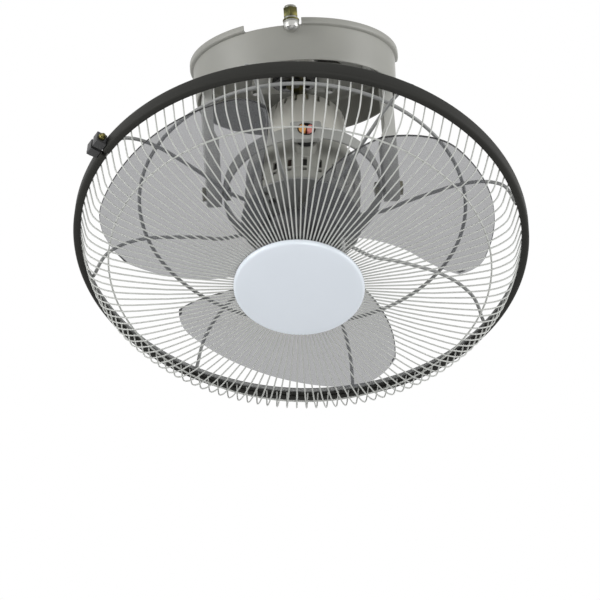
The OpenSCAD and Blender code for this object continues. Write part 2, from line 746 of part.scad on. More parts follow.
module bearing(z) {
    color("#c8c8c4") in_head() translate([0, 0, z]) difference() {
        cylinder(r = bearing_r, h = bearing_w);
        translate([0, 0, -1]) cylinder(r = shaft_hole_r, h = bearing_w + 2);
        for (side = [-1, bearing_w - 0.6]) translate([0, 0, side]) tube(bearing_r - 2, shaft_r + 2, 1.6);
    }
}

module rear_bearing() { bearing(bearing_rear); }

module front_bearing() { bearing(bearing_front); }

// Hollow trunnions that hold the head in the ring; the near one brings the motor's leads in
module head_pivot_pins() {
    color("#1e1f21") in_head() on_both_y() translate([0, 0, motor_r - 1])
        tube(trunnion_r, trunnion_bore, pad_face + 0.4 - motor_r + 1);
}

// Moulded cup over the motor's rear, with a notched crown
module rear_cover() {
    color("#c4c2ba") in_head() difference() {
        rotate_extrude() polygon([
            [cover_r - cover_t, motor_rear], [cover_r, motor_rear], [cover_r, motor_rear + 19],
            [cover_r - 1.2, motor_rear + 39], [crown_r + 1.2, cover_end - 20], [crown_r, cover_end - crown_h],
            [crown_r - 2.5, cover_end - 4.6], [crown_r - 7, cover_end - 3], [crown_r - 15, cover_end - 1.2],
            [socket_r + 1, cover_end], [socket_r + 1, cover_end - cover_t], [crown_r - 15, cover_end - 3.6],
            [crown_r - 8, cover_end - 5.4], [crown_r - cover_t, cover_end - crown_h - 1],
            [crown_r + 1.2 - cover_t, cover_end - 20], [cover_r - 1.2 - cover_t, motor_rear + 39],
            [cover_r - cover_t, motor_rear + 19]]);
        around(notch_count, 180 / notch_count) translate([crown_r - 10, -notch_w / 2, cover_end - notch_h])
            cube([20, notch_w, notch_h + 2]);
    }
}

// Steel post that carries the socket
module socket_post() {
    color("#c8c8c4") in_head() translate([0, 0, motor_rear]) {
        cylinder(r = 14, h = 4);
        cylinder(r = post_r, h = post_end - motor_rear);
    }
}

// Nylon cup that the ball runs in
module ball_socket() {
    color("#e8e6dc") in_head() difference() {
        translate([0, 0, cover_end - 11]) cylinder(r = socket_r, h = socket_end - cover_end + 11);
        translate([0, 0, cover_end - 12]) cylinder(r = post_r, h = post_end - cover_end + 12);
        translate([0, 0, ball_h]) sphere(r = ball_h - socket_end + 1.4);
    }
}

module capacitor() {
    color("#e9e7e0") in_head() translate([15, -9, motor_rear]) cube([17, 18, 34]);
}

// Two insulated lead ends that come in through the near trunnion
module motor_leads() {
    in_head() for (x = [-lead_x, lead_x]) translate([x, -motor_r + 20, lead_z]) rotate([90, 0, 0])
        color(x < 0 ? "#d9822b" : "#d2606a") cylinder(r = lead_r, h = pad_face - motor_r + 21.5);
}

// ---------------------------------------------------------------- guard

// Pressed plate screwed to the motor's front, which carries the rear guard
module guard_plate() {
    color("#77787a") in_head() translate([0, 0, guard_plate_front]) difference() {
        union() {
            tube(guard_plate_r, bearing_r + 4, guard_plate_t);
            around(4, 45) translate([guard_screw_r, 0, guard_plate_t - e])
                cylinder(r = 5, h = -motor_front - guard_plate_front - guard_plate_t + e);
        }
        around(4, 45) translate([guard_screw_r, 0, -1]) cylinder(r = 2.1, h = 10);
        around(4) translate([guard_screw_r - 10, 0, -1]) cylinder(r = 5, h = 10);
        around(4, 45) translate([long_screw_r, 0, -1]) cylinder(r = 3.4, h = 10);
    }
}

module guard_screws() {
    color("#c2c3c0") in_head() around(4, 45) translate([guard_screw_r, 0, guard_plate_front]) {
        translate([0, 0, -2.4]) cylinder(r = 3.8, h = 2.4);
        translate([0, 0, -1]) cylinder(r = 1.95, h = 4 - motor_front - guard_plate_front);
    }
}

module rear_spokes() {
    color("#5b5c5e") in_head() radial_rods(spoke_line, spoke_r, 8, spoke_count, spoke_azimuth);
}

module rear_ring() {
    color("#5b5c5e") in_head() translate([0, 0, rear_ring_z]) wire_ring(rear_ring_r, spoke_r);
}

module rear_outer_ring() {
    color("#5b5c5e") in_head() translate([0, 0, -rim_z + 2.9]) wire_ring(outer_ring_r, outer_wire_r);
}

module front_outer_ring() {
    color("#c9c9c9") in_head() translate([0, 0, -rim_z - 2.9]) wire_ring(outer_ring_r, outer_wire_r);
}

// Channel that wraps both guards' outer rings, open where its ends meet in the clamp
module rim_band() {
    h = rim_w / 2;
    in = rim_r - rim_depth;
    gap_angle = 1.2;
    color("#3a3b3d") in_head() rotate([0, 0, clamp_azimuth + gap_angle / 2])
        rotate_extrude(angle = 360 - gap_angle) translate([0, -rim_z]) polygon([
            [in, -h], [rim_r - 3, -h], [rim_r - 0.9, -h + 0.9], [rim_r, -h + 3], [rim_r, h - 3],
            [rim_r - 0.9, h - 0.9], [rim_r - 3, h], [in, h], [in, h - rim_t], [rim_r - 3, h - rim_t],
            [rim_r - rim_t, h - 3], [rim_r - rim_t, -h + 3], [rim_r - 3, -h + rim_t], [in, -h + rim_t]]);
}

// Two blocks round the band's ends, drawn together by a screw
module rim_clamp() {
    length = 9;
    color("#2e2f31") in_head() rotate([0, 0, clamp_azimuth]) translate([rim_r, 0, -rim_z]) for (s = [-1, 1])
        difference() {
            translate([0.3, s * (length / 2 + 1.6) - length / 2, -7]) cube([11, length, 14]);
            translate([6.5, -30, 0]) rotate([-90, 0, 0]) cylinder(r = 2.1, h = 60);
        }
}

module clamp_screw() {
    color("#b9a869") in_head() rotate([0, 0, clamp_azimuth]) translate([rim_r + 6.5, 0, -rim_z]) {
        translate([0, -11, 0]) rotate([-90, 0, 0]) cylinder(r = 2, h = 27);
        translate([0, 10.7, 0]) rotate([-90, 0, 0]) cylinder(r = 3.8, h = 3.2, $fn = 6);
        translate([0, -13.6, 0]) rotate([-90, 0, 0]) cylinder(r = 3.8, h = 3);
    }
}

module front_wires() {
    color("#d4d4d2") in_head() radial_rods(wire_line, wire_r, 4, wire_count, 0);
}

module front_middle_ring() {
    color("#d4d4d2") in_head() translate([0, 0, middle_ring_at[1]])
        wire_ring(middle_ring_at[0], middle_ring_wire);
}

// Disc behind the wires' inner ends, with holes for the cap's pegs
module front_hub_plate() {
    color("#c4c5c3") in_head() translate([0, 0, hub_plate_z]) difference() {
        tube(hub_plate_r, 22, 1.4);
        around(3, 90) translate([cap_peg_pcr, 0, -1]) cylinder(r = cap_peg_r, h = 5);
    }
}

// Slightly domed cap with a rounded edge and three pegs
module centre_cap() {
    color("#e9edf3") in_head() union() {
        rotate_extrude() polygon([
            [0, -cap_z - 7], [cap_r * 0.45, -cap_z - 6.2], [cap_r * 0.8, -cap_z - 4.2], [cap_r - 1.4, -cap_z - 2.4],
            [cap_r, -cap_z - 1], [cap_r, -cap_z], [cap_r - 2, -cap_z], [cap_r - 3, -cap_z - 0.6],
            [cap_r * 0.8, -cap_z - 2.2], [cap_r * 0.45, -cap_z - 4.2], [0, -cap_z - 5]]);
        around(3, 90) translate([cap_peg_pcr, 0, -cap_z - 4]) cylinder(r = cap_peg_r, h = 9);
    }
}

// ---------------------------------------------------------------- rotor

module fan_shaft() {
    color("#c8c8c4") in_head() translate([0, 0, shaft_end])
        cylinder(r = shaft_r, h = bearing_rear + bearing_w - shaft_end);
}

module rotor_core() {
    color("#8f8f8d") in_head() translate([0, 0, stator_z]) difference() {
        cylinder(r = rotor_r, h = stator_h);
        translate([0, 0, -1]) cylinder(r = shaft_r, h = stator_h + 2);
    }
}

// Cup that the blades are moulded into, with ribs out from its boss
module blade_hub() {
    wall = 2.5;
    color("#6d6e72") in_head() difference() {
        union() {
            translate([0, 0, hub_front]) tube(hub_r, hub_r - wall, hub_back - hub_front);
            translate([0, 0, hub_front]) cylinder(r = hub_r - wall + e, h = wall);
            translate([0, 0, hub_front]) cylinder(r = 13, h = hub_back - hub_front - 2);
            around(6) translate([12, -1, hub_front]) cube([hub_r - wall - 12 + e, 2, hub_back - hub_front - 5]);
        }
        translate([0, 0, hub_front - 1]) cylinder(r = shaft_r, h = 60);
    }
}

// Edges, tip and pitch of one blade. Both edges swing forward with the radius, and the tip's corners are round.
function low_edge(r) = 27 + 22 * pow(max(r - hub_r, 0) / 116, 1.15);
function high_edge(r) = 104 + 32 * pow(sin(90 * min(1, max(r - hub_r, 0) / 125)), 0.9);
function tip_radius(s) = blade_r - 24 * s + 3 * sin(180 * s)
    - (s < 0.2 ? 32 * pow(1 - s / 0.2, 2.5) : 0) - (s > 0.88 ? 14 * pow((s - 0.88) / 0.12, 2) : 0);
function blade_height(s, r) =
    let (reach = min(1, max(0, (r - hub_r) / 70)))
    -rim_z - (16 + 4 * reach) + (15 + 20 * reach) * (s + 0.1 * sin(180 * s)) + 2 * sin(180 * reach) * sin(180 * s);
function blade_point(i, j, side) =
    let (s = i / blade_cols, r = hub_r - 1 + (tip_radius(s) - hub_r + 1) * j / blade_rows,
         a = low_edge(r) * (1 - s) + high_edge(r) * s)
    [r * cos(a), r * sin(a), blade_height(s, r) + side * blade_t / 2 * (1 - 0.3 * j / blade_rows)];

module blade() {
    across = blade_cols + 1;
    along = blade_rows + 1;
    sheet = across * along;
    points = [for (side = [-1, 1], j = [0 : blade_rows], i = [0 : blade_cols]) blade_point(i, j, side)];
    skins = [for (j = [0 : blade_rows - 1], i = [0 : blade_cols - 1])
        let (a = j * across + i, b = a + 1, c = b + across, d = a + across)
        each [[a, b, c], [a, c, d], [sheet + a, sheet + c, sheet + b], [sheet + a, sheet + d, sheet + c]]];
    edge = concat(
        [for (i = [0 : blade_cols]) i], [for (j = [1 : blade_rows]) j * across + blade_cols],
        [for (i = [blade_cols - 1 : -1 : 0]) blade_rows * across + i],
        [for (j = [blade_rows - 1 : -1 : 1]) j * across]);
    rim = [for (k = [0 : len(edge) - 1]) let (a = edge[k], b = edge[(k + 1) % len(edge)])
        each [[a, sheet + a, sheet + b], [a, sheet + b, b]]];
    polyhedron(points, concat(skins, rim));
}

module blades() { color("#8a8a90", 0.75) in_head() around(blade_count) blade(); }

// Fluted black cup that holds the blades on the shaft
module hub_clamp() {
    color("#1e1f21") in_head() difference() {
        rotate_extrude() polygon([
            [shaft_r, clamp_front + 3], [14, clamp_front + 3], [15, clamp_front], [hub_r - 10, clamp_front],
            [hub_r - 2, clamp_front + 5], [hub_r + 0.5, hub_front], [hub_r - 6, hub_front],
            [hub_r - 8, clamp_front + 7], [20, clamp_front + 5], [18, hub_front], [shaft_r, hub_front]]);
        around(24) translate([hub_r + 1.6, 0, clamp_front - 1]) cylinder(r = 2, h = 30);
    }
}

module spinner_nut() {
    color("#1e1f21") in_head() difference() {
        union() {
            translate([0, 0, nut_end]) cylinder(r = 12, h = clamp_front + 3 - nut_end);
            translate([0, 0, nut_end - 3]) cylinder(r1 = 9, r2 = 12, h = 3);
        }
        translate([0, 0, shaft_end]) cylinder(r = shaft_r, h = 20);
        around(8) translate([12.6, 0, nut_end - 4]) cylinder(r = 1.8, h = 30);
    }
}

ceiling_bracket();
canopy_drum();
lock_bolts();
lock_washers();
lock_springs();
lock_nuts();
left_arm();
right_arm();
arm_screws();
arm_bushes();
drive_plate();
drive_posts();
orbit_motor();
terminal_block();
drive_pinion();
crank_gear();
crank_shaft();
crank_arm();
crank_ball();
gimbal_ring();
ring_pivot_pins();
ring_pivot_nuts();
head_bushes();
motor_rear_housing();
motor_front_housing();
housing_screws();
stator();
stator_windings();
rear_bearing();
front_bearing();
head_pivot_pins();
rear_cover();
socket_post();
ball_socket();
capacitor();
motor_leads();
guard_plate();
guard_screws();
rear_spokes();
rear_ring();
rear_outer_ring();
rim_band();
rim_clamp();
clamp_screw();
front_outer_ring();
front_wires();
front_middle_ring();
front_hub_plate();
centre_cap();
fan_shaft();
rotor_core();
blade_hub();
blades();
hub_clamp();
spinner_nut();
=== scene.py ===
"""Looks for an orbital ceiling fan: smooth wires, spokes, blades, cap and rim, the finishes and the stage."""

import json
import math

import bmesh
import bpy
from bpy.props import FloatProperty, FloatVectorProperty, IntProperty, PointerProperty
from mathutils import Matrix, Vector


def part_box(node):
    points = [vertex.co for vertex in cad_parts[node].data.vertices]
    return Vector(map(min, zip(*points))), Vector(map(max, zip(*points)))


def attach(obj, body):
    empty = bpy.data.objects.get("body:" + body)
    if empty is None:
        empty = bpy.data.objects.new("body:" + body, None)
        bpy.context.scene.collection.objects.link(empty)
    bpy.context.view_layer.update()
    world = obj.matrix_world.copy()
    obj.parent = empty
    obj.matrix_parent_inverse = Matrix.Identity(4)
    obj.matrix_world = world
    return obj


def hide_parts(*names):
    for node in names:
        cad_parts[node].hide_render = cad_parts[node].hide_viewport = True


bl_info = {
    "name": "Orbital ceiling fan",
    "version": (1, 0, 0),
    "blender": (4, 5, 0),
    "location": "3D View > Sidebar > Ceiling fan",
    "description": "Builds the wires, blades, cap and finishes of a caged ceiling fan on its packed frame",
    "category": "Object",
}

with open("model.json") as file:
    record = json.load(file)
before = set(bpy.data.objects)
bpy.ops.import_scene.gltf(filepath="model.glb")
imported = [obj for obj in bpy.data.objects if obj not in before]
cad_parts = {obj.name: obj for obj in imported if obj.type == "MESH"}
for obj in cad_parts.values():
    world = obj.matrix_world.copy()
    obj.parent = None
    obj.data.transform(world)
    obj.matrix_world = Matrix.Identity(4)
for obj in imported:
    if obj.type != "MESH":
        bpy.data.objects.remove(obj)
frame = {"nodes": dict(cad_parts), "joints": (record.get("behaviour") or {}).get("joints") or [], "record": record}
NODES = frame["nodes"]
JOINTS = {joint["name"]: joint for joint in frame["joints"]}
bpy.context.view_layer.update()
BODY_OF = {
    node: body for body, members in frame["record"]["behaviour"]["bodies"].items() for node in members
}
MM = 0.001
FULL = 2 * math.pi


# ---------------------------------------------------------------- places


def head_place():
    """The head's frame at rest: the fan's axis is Z, and the trunnions' axis is Y."""
    centre = Vector(JOINTS["head_tilt"]["pos_m"])
    up = Vector(JOINTS["fan_spin"]["axis"]).normalized()
    along = Vector(JOINTS["head_tilt"]["axis"]).normalized()
    turn = Matrix((along.cross(up), along, up)).transposed()
    return Matrix.Translation(centre) @ turn.to_4x4()


HEAD = head_place()


# ---------------------------------------------------------------- sizes and colours


def length_choice(name, description, default):
    """A length that a user can change, in metres."""
    return FloatProperty(
        name=name, description=description, default=default, subtype="DISTANCE", unit="LENGTH")


def angle_choice(name, description, degrees):
    """An angle that a user can change, given here in degrees."""
    return FloatProperty(
        name=name, description=description, default=math.radians(degrees), subtype="ANGLE", unit="ROTATION")


def colour_choice(name, description, default):
    """A colour that a user can change."""
    return FloatVectorProperty(name=name, description=description, default=default, subtype="COLOR", size=3)


class FanSizes(bpy.types.PropertyGroup):
    """Sizes of the pieces made here: the drum's from the ceiling, and the rest in the head's frame"""

    drum_radius: length_choice("Drum radius", "Outer radius of the canopy's drum at its top", 0.10863)
    drum_top: length_choice("Drum top", "Height of the drum's top plate", -0.0165)
    drum_height: length_choice("Drum height", "Height of the drum's wall", 0.0385)
    lip_gap: angle_choice("Lip gap", "Angle of each gap in the drum's lip", 32)
    first_gap: angle_choice("First gap", "Middle of the front gap in the drum's lip", 253.5)
    front_lock: angle_choice("Front bolt", "Direction of the front lock bolt", 264)
    lock_radius: length_choice("Bolt circle", "Distance of the lock bolts from the axis", 0.11693)
    rim_radius: length_choice("Rim radius", "Outer radius of the rim band", 0.235)
    rim_height: length_choice("Rim height", "Height of the rim's middle over the gimbal's centre", -0.078)
    rim_width: length_choice("Rim width", "Width of the rim band", 0.017)
    wire_count: IntProperty(name="Front wires", description="Number of wires in the front guard", default=126)
    wire_radius: length_choice("Wire radius", "Radius of a front wire", 0.0008)
    spoke_count: IntProperty(name="Rear spokes", description="Number of spokes in the rear guard", default=8)
    spoke_radius: length_choice("Spoke radius", "Radius of a rear spoke", 0.0019)
    spoke_azimuth: angle_choice("First spoke", "Direction of the first rear spoke in the head's frame", 28)
    clamp_azimuth: angle_choice("Clamp", "Direction of the rim's clamp in the head's frame", 210)
    blade_radius: length_choice("Blade radius", "Radius that the blades' tips sweep", 0.214)
    blade_thickness: length_choice("Blade thickness", "Thickness of a blade", 0.0022)
    hub_radius: length_choice("Hub radius", "Radius of the blades' hub", 0.046)
    cap_radius: length_choice("Cap radius", "Radius of the round cap", 0.06675)
    cap_height: length_choice("Cap height", "Height of the cap's rear edge over the gimbal's centre", -0.144)


class FanColours(bpy.types.PropertyGroup):
    """Colours that a user would change"""

    canopy: colour_choice("Canopy", "Paint of the canopy", (0.28, 0.28, 0.255))
    bracket: colour_choice("Arms and ring", "Paint of the arms and the ring", (0.54, 0.545, 0.515))
    motor: colour_choice("Motor", "Paint of the motor's housings", (0.31, 0.31, 0.28))
    cover: colour_choice("Rear cover", "Plastic of the rear cover", (0.63, 0.62, 0.565))
    rim: colour_choice("Rim", "Plastic of the rim band", (0.026, 0.026, 0.0235))
    cap: colour_choice("Cap", "Plastic of the round cap", (0.775, 0.83, 0.895))
    wires: colour_choice("Front wires", "Coating of the front wires", (0.50, 0.51, 0.485))
    spokes: colour_choice("Rear guard", "Coating of the rear guard", (0.26, 0.265, 0.26))
    blades: colour_choice("Blades", "Tint of the clear smoke blades", (0.16, 0.165, 0.18))


def sizes():
    """The sizes as they stand in the scene."""
    return bpy.context.scene.fan_sizes


def colours():
    """The colours as they stand in the scene."""
    return bpy.context.scene.fan_colours


# ---------------------------------------------------------------- finishes


class Level:
    """A shader value that is written in sums: an expression adds its Math nodes."""

    def __init__(self, work, socket):
        self.work = work
        self.socket = socket

    def maths(self, operation, *values):
        node = self.work.node("ShaderNodeMath", {"operation": operation}, dict(enumerate(values)))
        return Level(self.work, node.outputs[0])

    def __add__(self, other):
        return self.maths("ADD", self, other)

    __radd__ = __add__

    def __sub__(self, other):
        return self.maths("SUBTRACT", self, other)

    def __rsub__(self, other):
        return self.maths("SUBTRACT", other, self)

    def __mul__(self, other):
        return self.maths("MULTIPLY", self, other)

    __rmul__ = __mul__

    def at_most(self, other):
        return self.maths("MINIMUM", self, other)

    def over(self, other):
        return self.maths("GREATER_THAN", self, other)

    def sine(self):
        return self.maths("SINE", self)


class NodeWork:
    """The nodes of one material or world, each made by the same method."""

    def __init__(self, tree):
        self.tree = tree
        self.tree.nodes.clear()

    def node(self, kind, settings=None, values=None):
        """Adds a node: its settings are set first, and then its sockets."""
        made = self.tree.nodes.new(kind)
        for name, setting in (settings or {}).items():
            setattr(made, name, setting)
        for name, value in (values or {}).items():
            socket = made.inputs[name]
            if isinstance(value, Level):
                value = value.socket
            if isinstance(value, bpy.types.NodeSocket):
                self.tree.links.new(value, socket)
            else:
                socket.default_value = value
        return made

    def seen_plainly(self):
        """1 for a ray from the camera, off gloss or through a clear piece, and 0 for the rest."""
        rays = self.node("ShaderNodeLightPath").outputs
        straight = Level(self, rays["Is Camera Ray"]) + Level(self, rays["Is Glossy Ray"])
        return (straight + Level(self, rays["Is Transmission Ray"])).at_most(1.0)


class Finish(NodeWork):
    """A material that is built node by node on Object coordinates."""

    def __init__(self, name):
        self.material = bpy.data.materials.new(f"fan_{name}")
        self.material.use_nodes = True
        super().__init__(self.material.node_tree)
        self.place = self.node("ShaderNodeTexCoord").outputs["Object"]

    def noise(self, scale, detail, roughness=0.5, place=None):
        """A level that wanders between 0 and 1."""
        values = {"Vector": place or self.place, "Scale": scale, "Detail": detail, "Roughness": roughness}
        return Level(self, self.node("ShaderNodeTexNoise", None, values).outputs["Fac"])

    def stretched(self, scale, turn=(0, 0, 0)):
        """Object coordinates, turned and then stretched, for brushed or drawn surfaces."""
        return self.node(
            "ShaderNodeMapping", None, {"Vector": self.place, "Scale": scale, "Rotation": turn}
        ).outputs["Vector"]

    def part(self, axis, place=None):
        """One coordinate of a place, or of the object's own."""
        node = self.node("ShaderNodeSeparateXYZ", None, {"Vector": place or self.place})
        return Level(self, node.outputs[axis])

    def ramp(self, level, low, high):
        """A level spread so that low becomes 0 and high becomes 1."""
        node = self.node(
            "ShaderNodeMapRange", {"clamp": True}, {"Value": level, "From Min": low, "From Max": high}
        )
        return Level(self, node.outputs["Result"])

    def mix(self, level, first, second):
        """A colour that goes from the first to the second with a level."""
        ends = [(*end, 1) if isinstance(end, tuple) else end for end in (first, second)]
        node = self.node("ShaderNodeMix", {"data_type": "RGBA"}, {0: level, 6: ends[0], 7: ends[1]})
        return node.outputs[2]

    def bump(self, height, distance, strength):
        return self.node(
            "ShaderNodeBump", None, {"Height": height, "Distance": distance, "Strength": strength}
        ).outputs["Normal"]

    def surface(self, values):
        """The Principled shader and the output, which end the material."""
        shader = self.node("ShaderNodeBsdfPrincipled", None, values)
        self.node("ShaderNodeOutputMaterial", None, {"Surface": shader.outputs[0]})
        return self.material


def darker(colour, share):
    """A colour times a share, which may also be over 1 for a paler one."""
    return tuple(channel * share for channel in colour[:3])


def baked_paint(name, colour, rough, dirt):
    """Sprayed and baked enamel: orange peel, a little mottling, and dust in broad patches."""
    paint = Finish(name)
    mottle = paint.noise(38, 4)
    dust = paint.ramp(paint.noise(9, 5, 0.6), 0.45, 0.75)
    shade = paint.mix(mottle, darker(colour, 0.93), darker(colour, 1.05))
    shade = paint.mix(dust * dirt, shade, (0.30, 0.28, 0.23))
    peel = paint.noise(900, 2)
    return paint.surface({
        "Base Color": shade,
        "Roughness": rough + 0.10 * mottle + 0.12 * dust,
        "Normal": paint.bump(peel + 0.25 * paint.noise(2600, 1), 0.00012, 0.35),
        "Specular IOR Level": 0.5,
    })


def cast_paint(name, colour):
    """Paint over sand-cast aluminium: a coarser skin with small pits."""
    paint = Finish(name)
    skin = paint.noise(420, 4, 0.6)
    pits = paint.ramp(paint.noise(1500, 2), 0.62, 0.72)
    broad = paint.noise(24, 3)
    shade = paint.mix(broad, darker(colour, 0.90), darker(colour, 1.06))
    shade = paint.mix(pits * 0.5, shade, darker(colour, 0.6))
    return paint.surface({
        "Base Color": shade,
        "Roughness": 0.46 + 0.12 * skin,
        "Normal": paint.bump(skin - 0.6 * pits, 0.0002, 0.4),
    })


def plated_steel(name, pale, deep, rough):
    """Zinc or nickel plate: drifting tints over metal, with fine scratches."""
    plate = Finish(name)
    drift = plate.ramp(plate.noise(70, 3), 0.35, 0.68)
    scratch = plate.noise(1400, 2, 0.6, plate.stretched((1, 1, 0.06)))
    return plate.surface({
        "Base Color": plate.mix(drift, pale, deep),
        "Metallic": 1.0,
        "Roughness": rough + 0.14 * scratch,
        "Normal": plate.bump(scratch, 0.00005, 0.25),
    })


def turned_steel(name):
    """Lathe-turned steel, with rings across the fan's axis."""
    steel = Finish(name)
    rings = steel.noise(2200, 1, 0.5, steel.stretched((0.08, 0.08, 1)))
    return steel.surface({
        "Base Color": steel.mix(rings, (0.30, 0.30, 0.29), (0.44, 0.44, 0.43)),
        "Metallic": 1.0,
        "Roughness": 0.24 + 0.12 * rings,
        "Normal": steel.bump(rings, 0.00004, 0.3),
    })


def moulded(name, colour, rough, grain=0.00006, coat=0.0, cloud=0.05, shine=0.5):
    """Injection-moulded plastic: fine grain, and faint flow clouds."""
    plastic = Finish(name)
    flow = plastic.noise(16, 4, 0.6, plastic.stretched((1, 1, 0.35)))
    fine = plastic.noise(1800, 2)
    return plastic.surface({
        "Base Color": plastic.mix(flow, darker(colour, 1 - cloud), darker(colour, 1 + cloud)),
        "Roughness": rough + 0.08 * fine + 0.05 * flow,
        "Specular IOR Level": shine,
        "Coat Weight": coat,
        "Coat Roughness": 0.08,
        "Normal": plastic.bump(fine, grain, 0.3),
    })


def powder_coat(name, colour, rough):
    """Powder coat on wire: fine bumps, and tints that drift along the wire."""
    coat = Finish(name)
    bumps = coat.noise(1300, 2)
    drift = coat.noise(30, 2)
    return coat.surface({
        "Base Color": coat.mix(drift, darker(colour, 0.94), darker(colour, 1.07)),
        "Roughness": rough + 0.12 * bumps,
        "Normal": coat.bump(bumps, 0.00008, 0.35),
    })


def laminated_steel(name):
    """The stator's stacked sheets, seen edge on along the fan's axis."""
    stack = Finish(name)
    along = stack.part("Z", stack.stretched((1, 1, 1), HEAD.to_3x3().inverted().to_euler()))
    lines = (along * (FULL / MM)).sine()
    rust = stack.ramp(stack.noise(60, 4), 0.5, 0.75)
    return stack.surface({
        "Base Color": stack.mix(rust * 0.6, (0.045, 0.043, 0.042), (0.10, 0.055, 0.035)),
        "Metallic": 0.7,
        "Roughness": 0.45 + 0.2 * rust,
        "Normal": stack.bump(lines, 0.0001, 0.5),
    })


def varnished_copper(name):
    """Coil ends: wound strands under brown varnish."""
    coil = Finish(name)
    strands = coil.noise(700, 2, 0.5, coil.stretched((1, 1, 5)))
    return coil.surface({
        "Base Color": coil.mix(strands, (0.28, 0.10, 0.035), (0.55, 0.25, 0.10)),
        "Metallic": 0.6,
        "Roughness": 0.32 + 0.15 * strands,
        "Normal": coil.bump(strands, 0.0004, 0.6),
    })


def lead_sleeves(name):
    """Two sleeves in one piece: orange to the left of the trunnion's middle, and pink to the right."""
    sleeve = Finish(name)
    low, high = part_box("motor_leads")
    side = sleeve.part("X").over((low[0] + high[0]) / 2)
    grain = sleeve.noise(500, 3)
    tint = sleeve.mix(side, (0.70, 0.36, 0.10), (0.68, 0.24, 0.22))
    return sleeve.surface({
        "Base Color": sleeve.mix(grain * 0.25, tint, (0.30, 0.13, 0.05)),
        "Roughness": 0.45 + 0.1 * grain,
        "Normal": sleeve.bump(grain, 0.0001, 0.3),
    })


def smoke_resin(name, colour, cover, drift):
    """Clear smoke-grey resin, thin and glossy. The share that it covers drifts a little."""
    resin = Finish(name)
    flow = resin.noise(12, 3)
    fine = resin.noise(900, 2)
    return resin.surface({
        "Base Color": resin.mix(flow, darker(colour, 0.92), darker(colour, 1.08)),
        "Roughness": 0.16 + 0.06 * fine,
        "Alpha": cover + drift * flow,
        "IOR": 1.49,
        "Normal": resin.bump(flow, 0.0002, 0.12),
    })


NODE_FINISH = {
    "canopy_enamel": ["canopy_drum"],
    "arm_enamel": ["left_arm", "right_arm"],
    # the gimbal ring's finish is the arms' paint darkened, as painted shade
    "ring_enamel": ["gimbal_ring"],
    "cast_housing": ["motor_rear_housing", "motor_front_housing"],
    "dull_zinc": ["ceiling_bracket", "lock_springs", "drive_plate"],
    "yellow_zinc": [
        "lock_washers", "lock_nuts", "crank_arm", "ring_pivot_pins", "ring_pivot_nuts", "clamp_screw",
    ],
    "nickel": ["lock_bolts", "orbit_motor"],
    "turned_steel": [
        "arm_screws", "drive_posts", "drive_pinion", "crank_shaft", "housing_screws", "rear_bearing",
        "front_bearing", "socket_post", "guard_screws", "fan_shaft", "crank_ball",
    ],
    "nylon": ["arm_bushes", "ball_socket", "terminal_block"],
    "grey_nylon": ["head_bushes"],
    "stator_stack": ["stator", "rotor_core"],
    "coil_varnish": ["stator_windings"],
    "cover_plastic": ["rear_cover"],
    "capacitor_case": ["capacitor"],
    "lead_sleeves": ["motor_leads"],
    "guard_coat": ["guard_plate", "rear_ring", "rear_outer_ring"],
    "wire_coat": ["front_middle_ring", "front_hub_plate"],
    # painted shade: the front guard's outer wire ring takes the rim's near-black plastic, as a dark ring in the
    # band's shade
    "rim_plastic": ["front_outer_ring"],
    "clamp_plastic": ["rim_clamp"],
    "black_plastic": ["crank_gear", "head_pivot_pins", "spinner_nut", "hub_clamp"],
    "hub_plastic": ["blade_hub"],
}
FINISH_OF = {node: finish for finish, nodes in NODE_FINISH.items() for node in nodes}


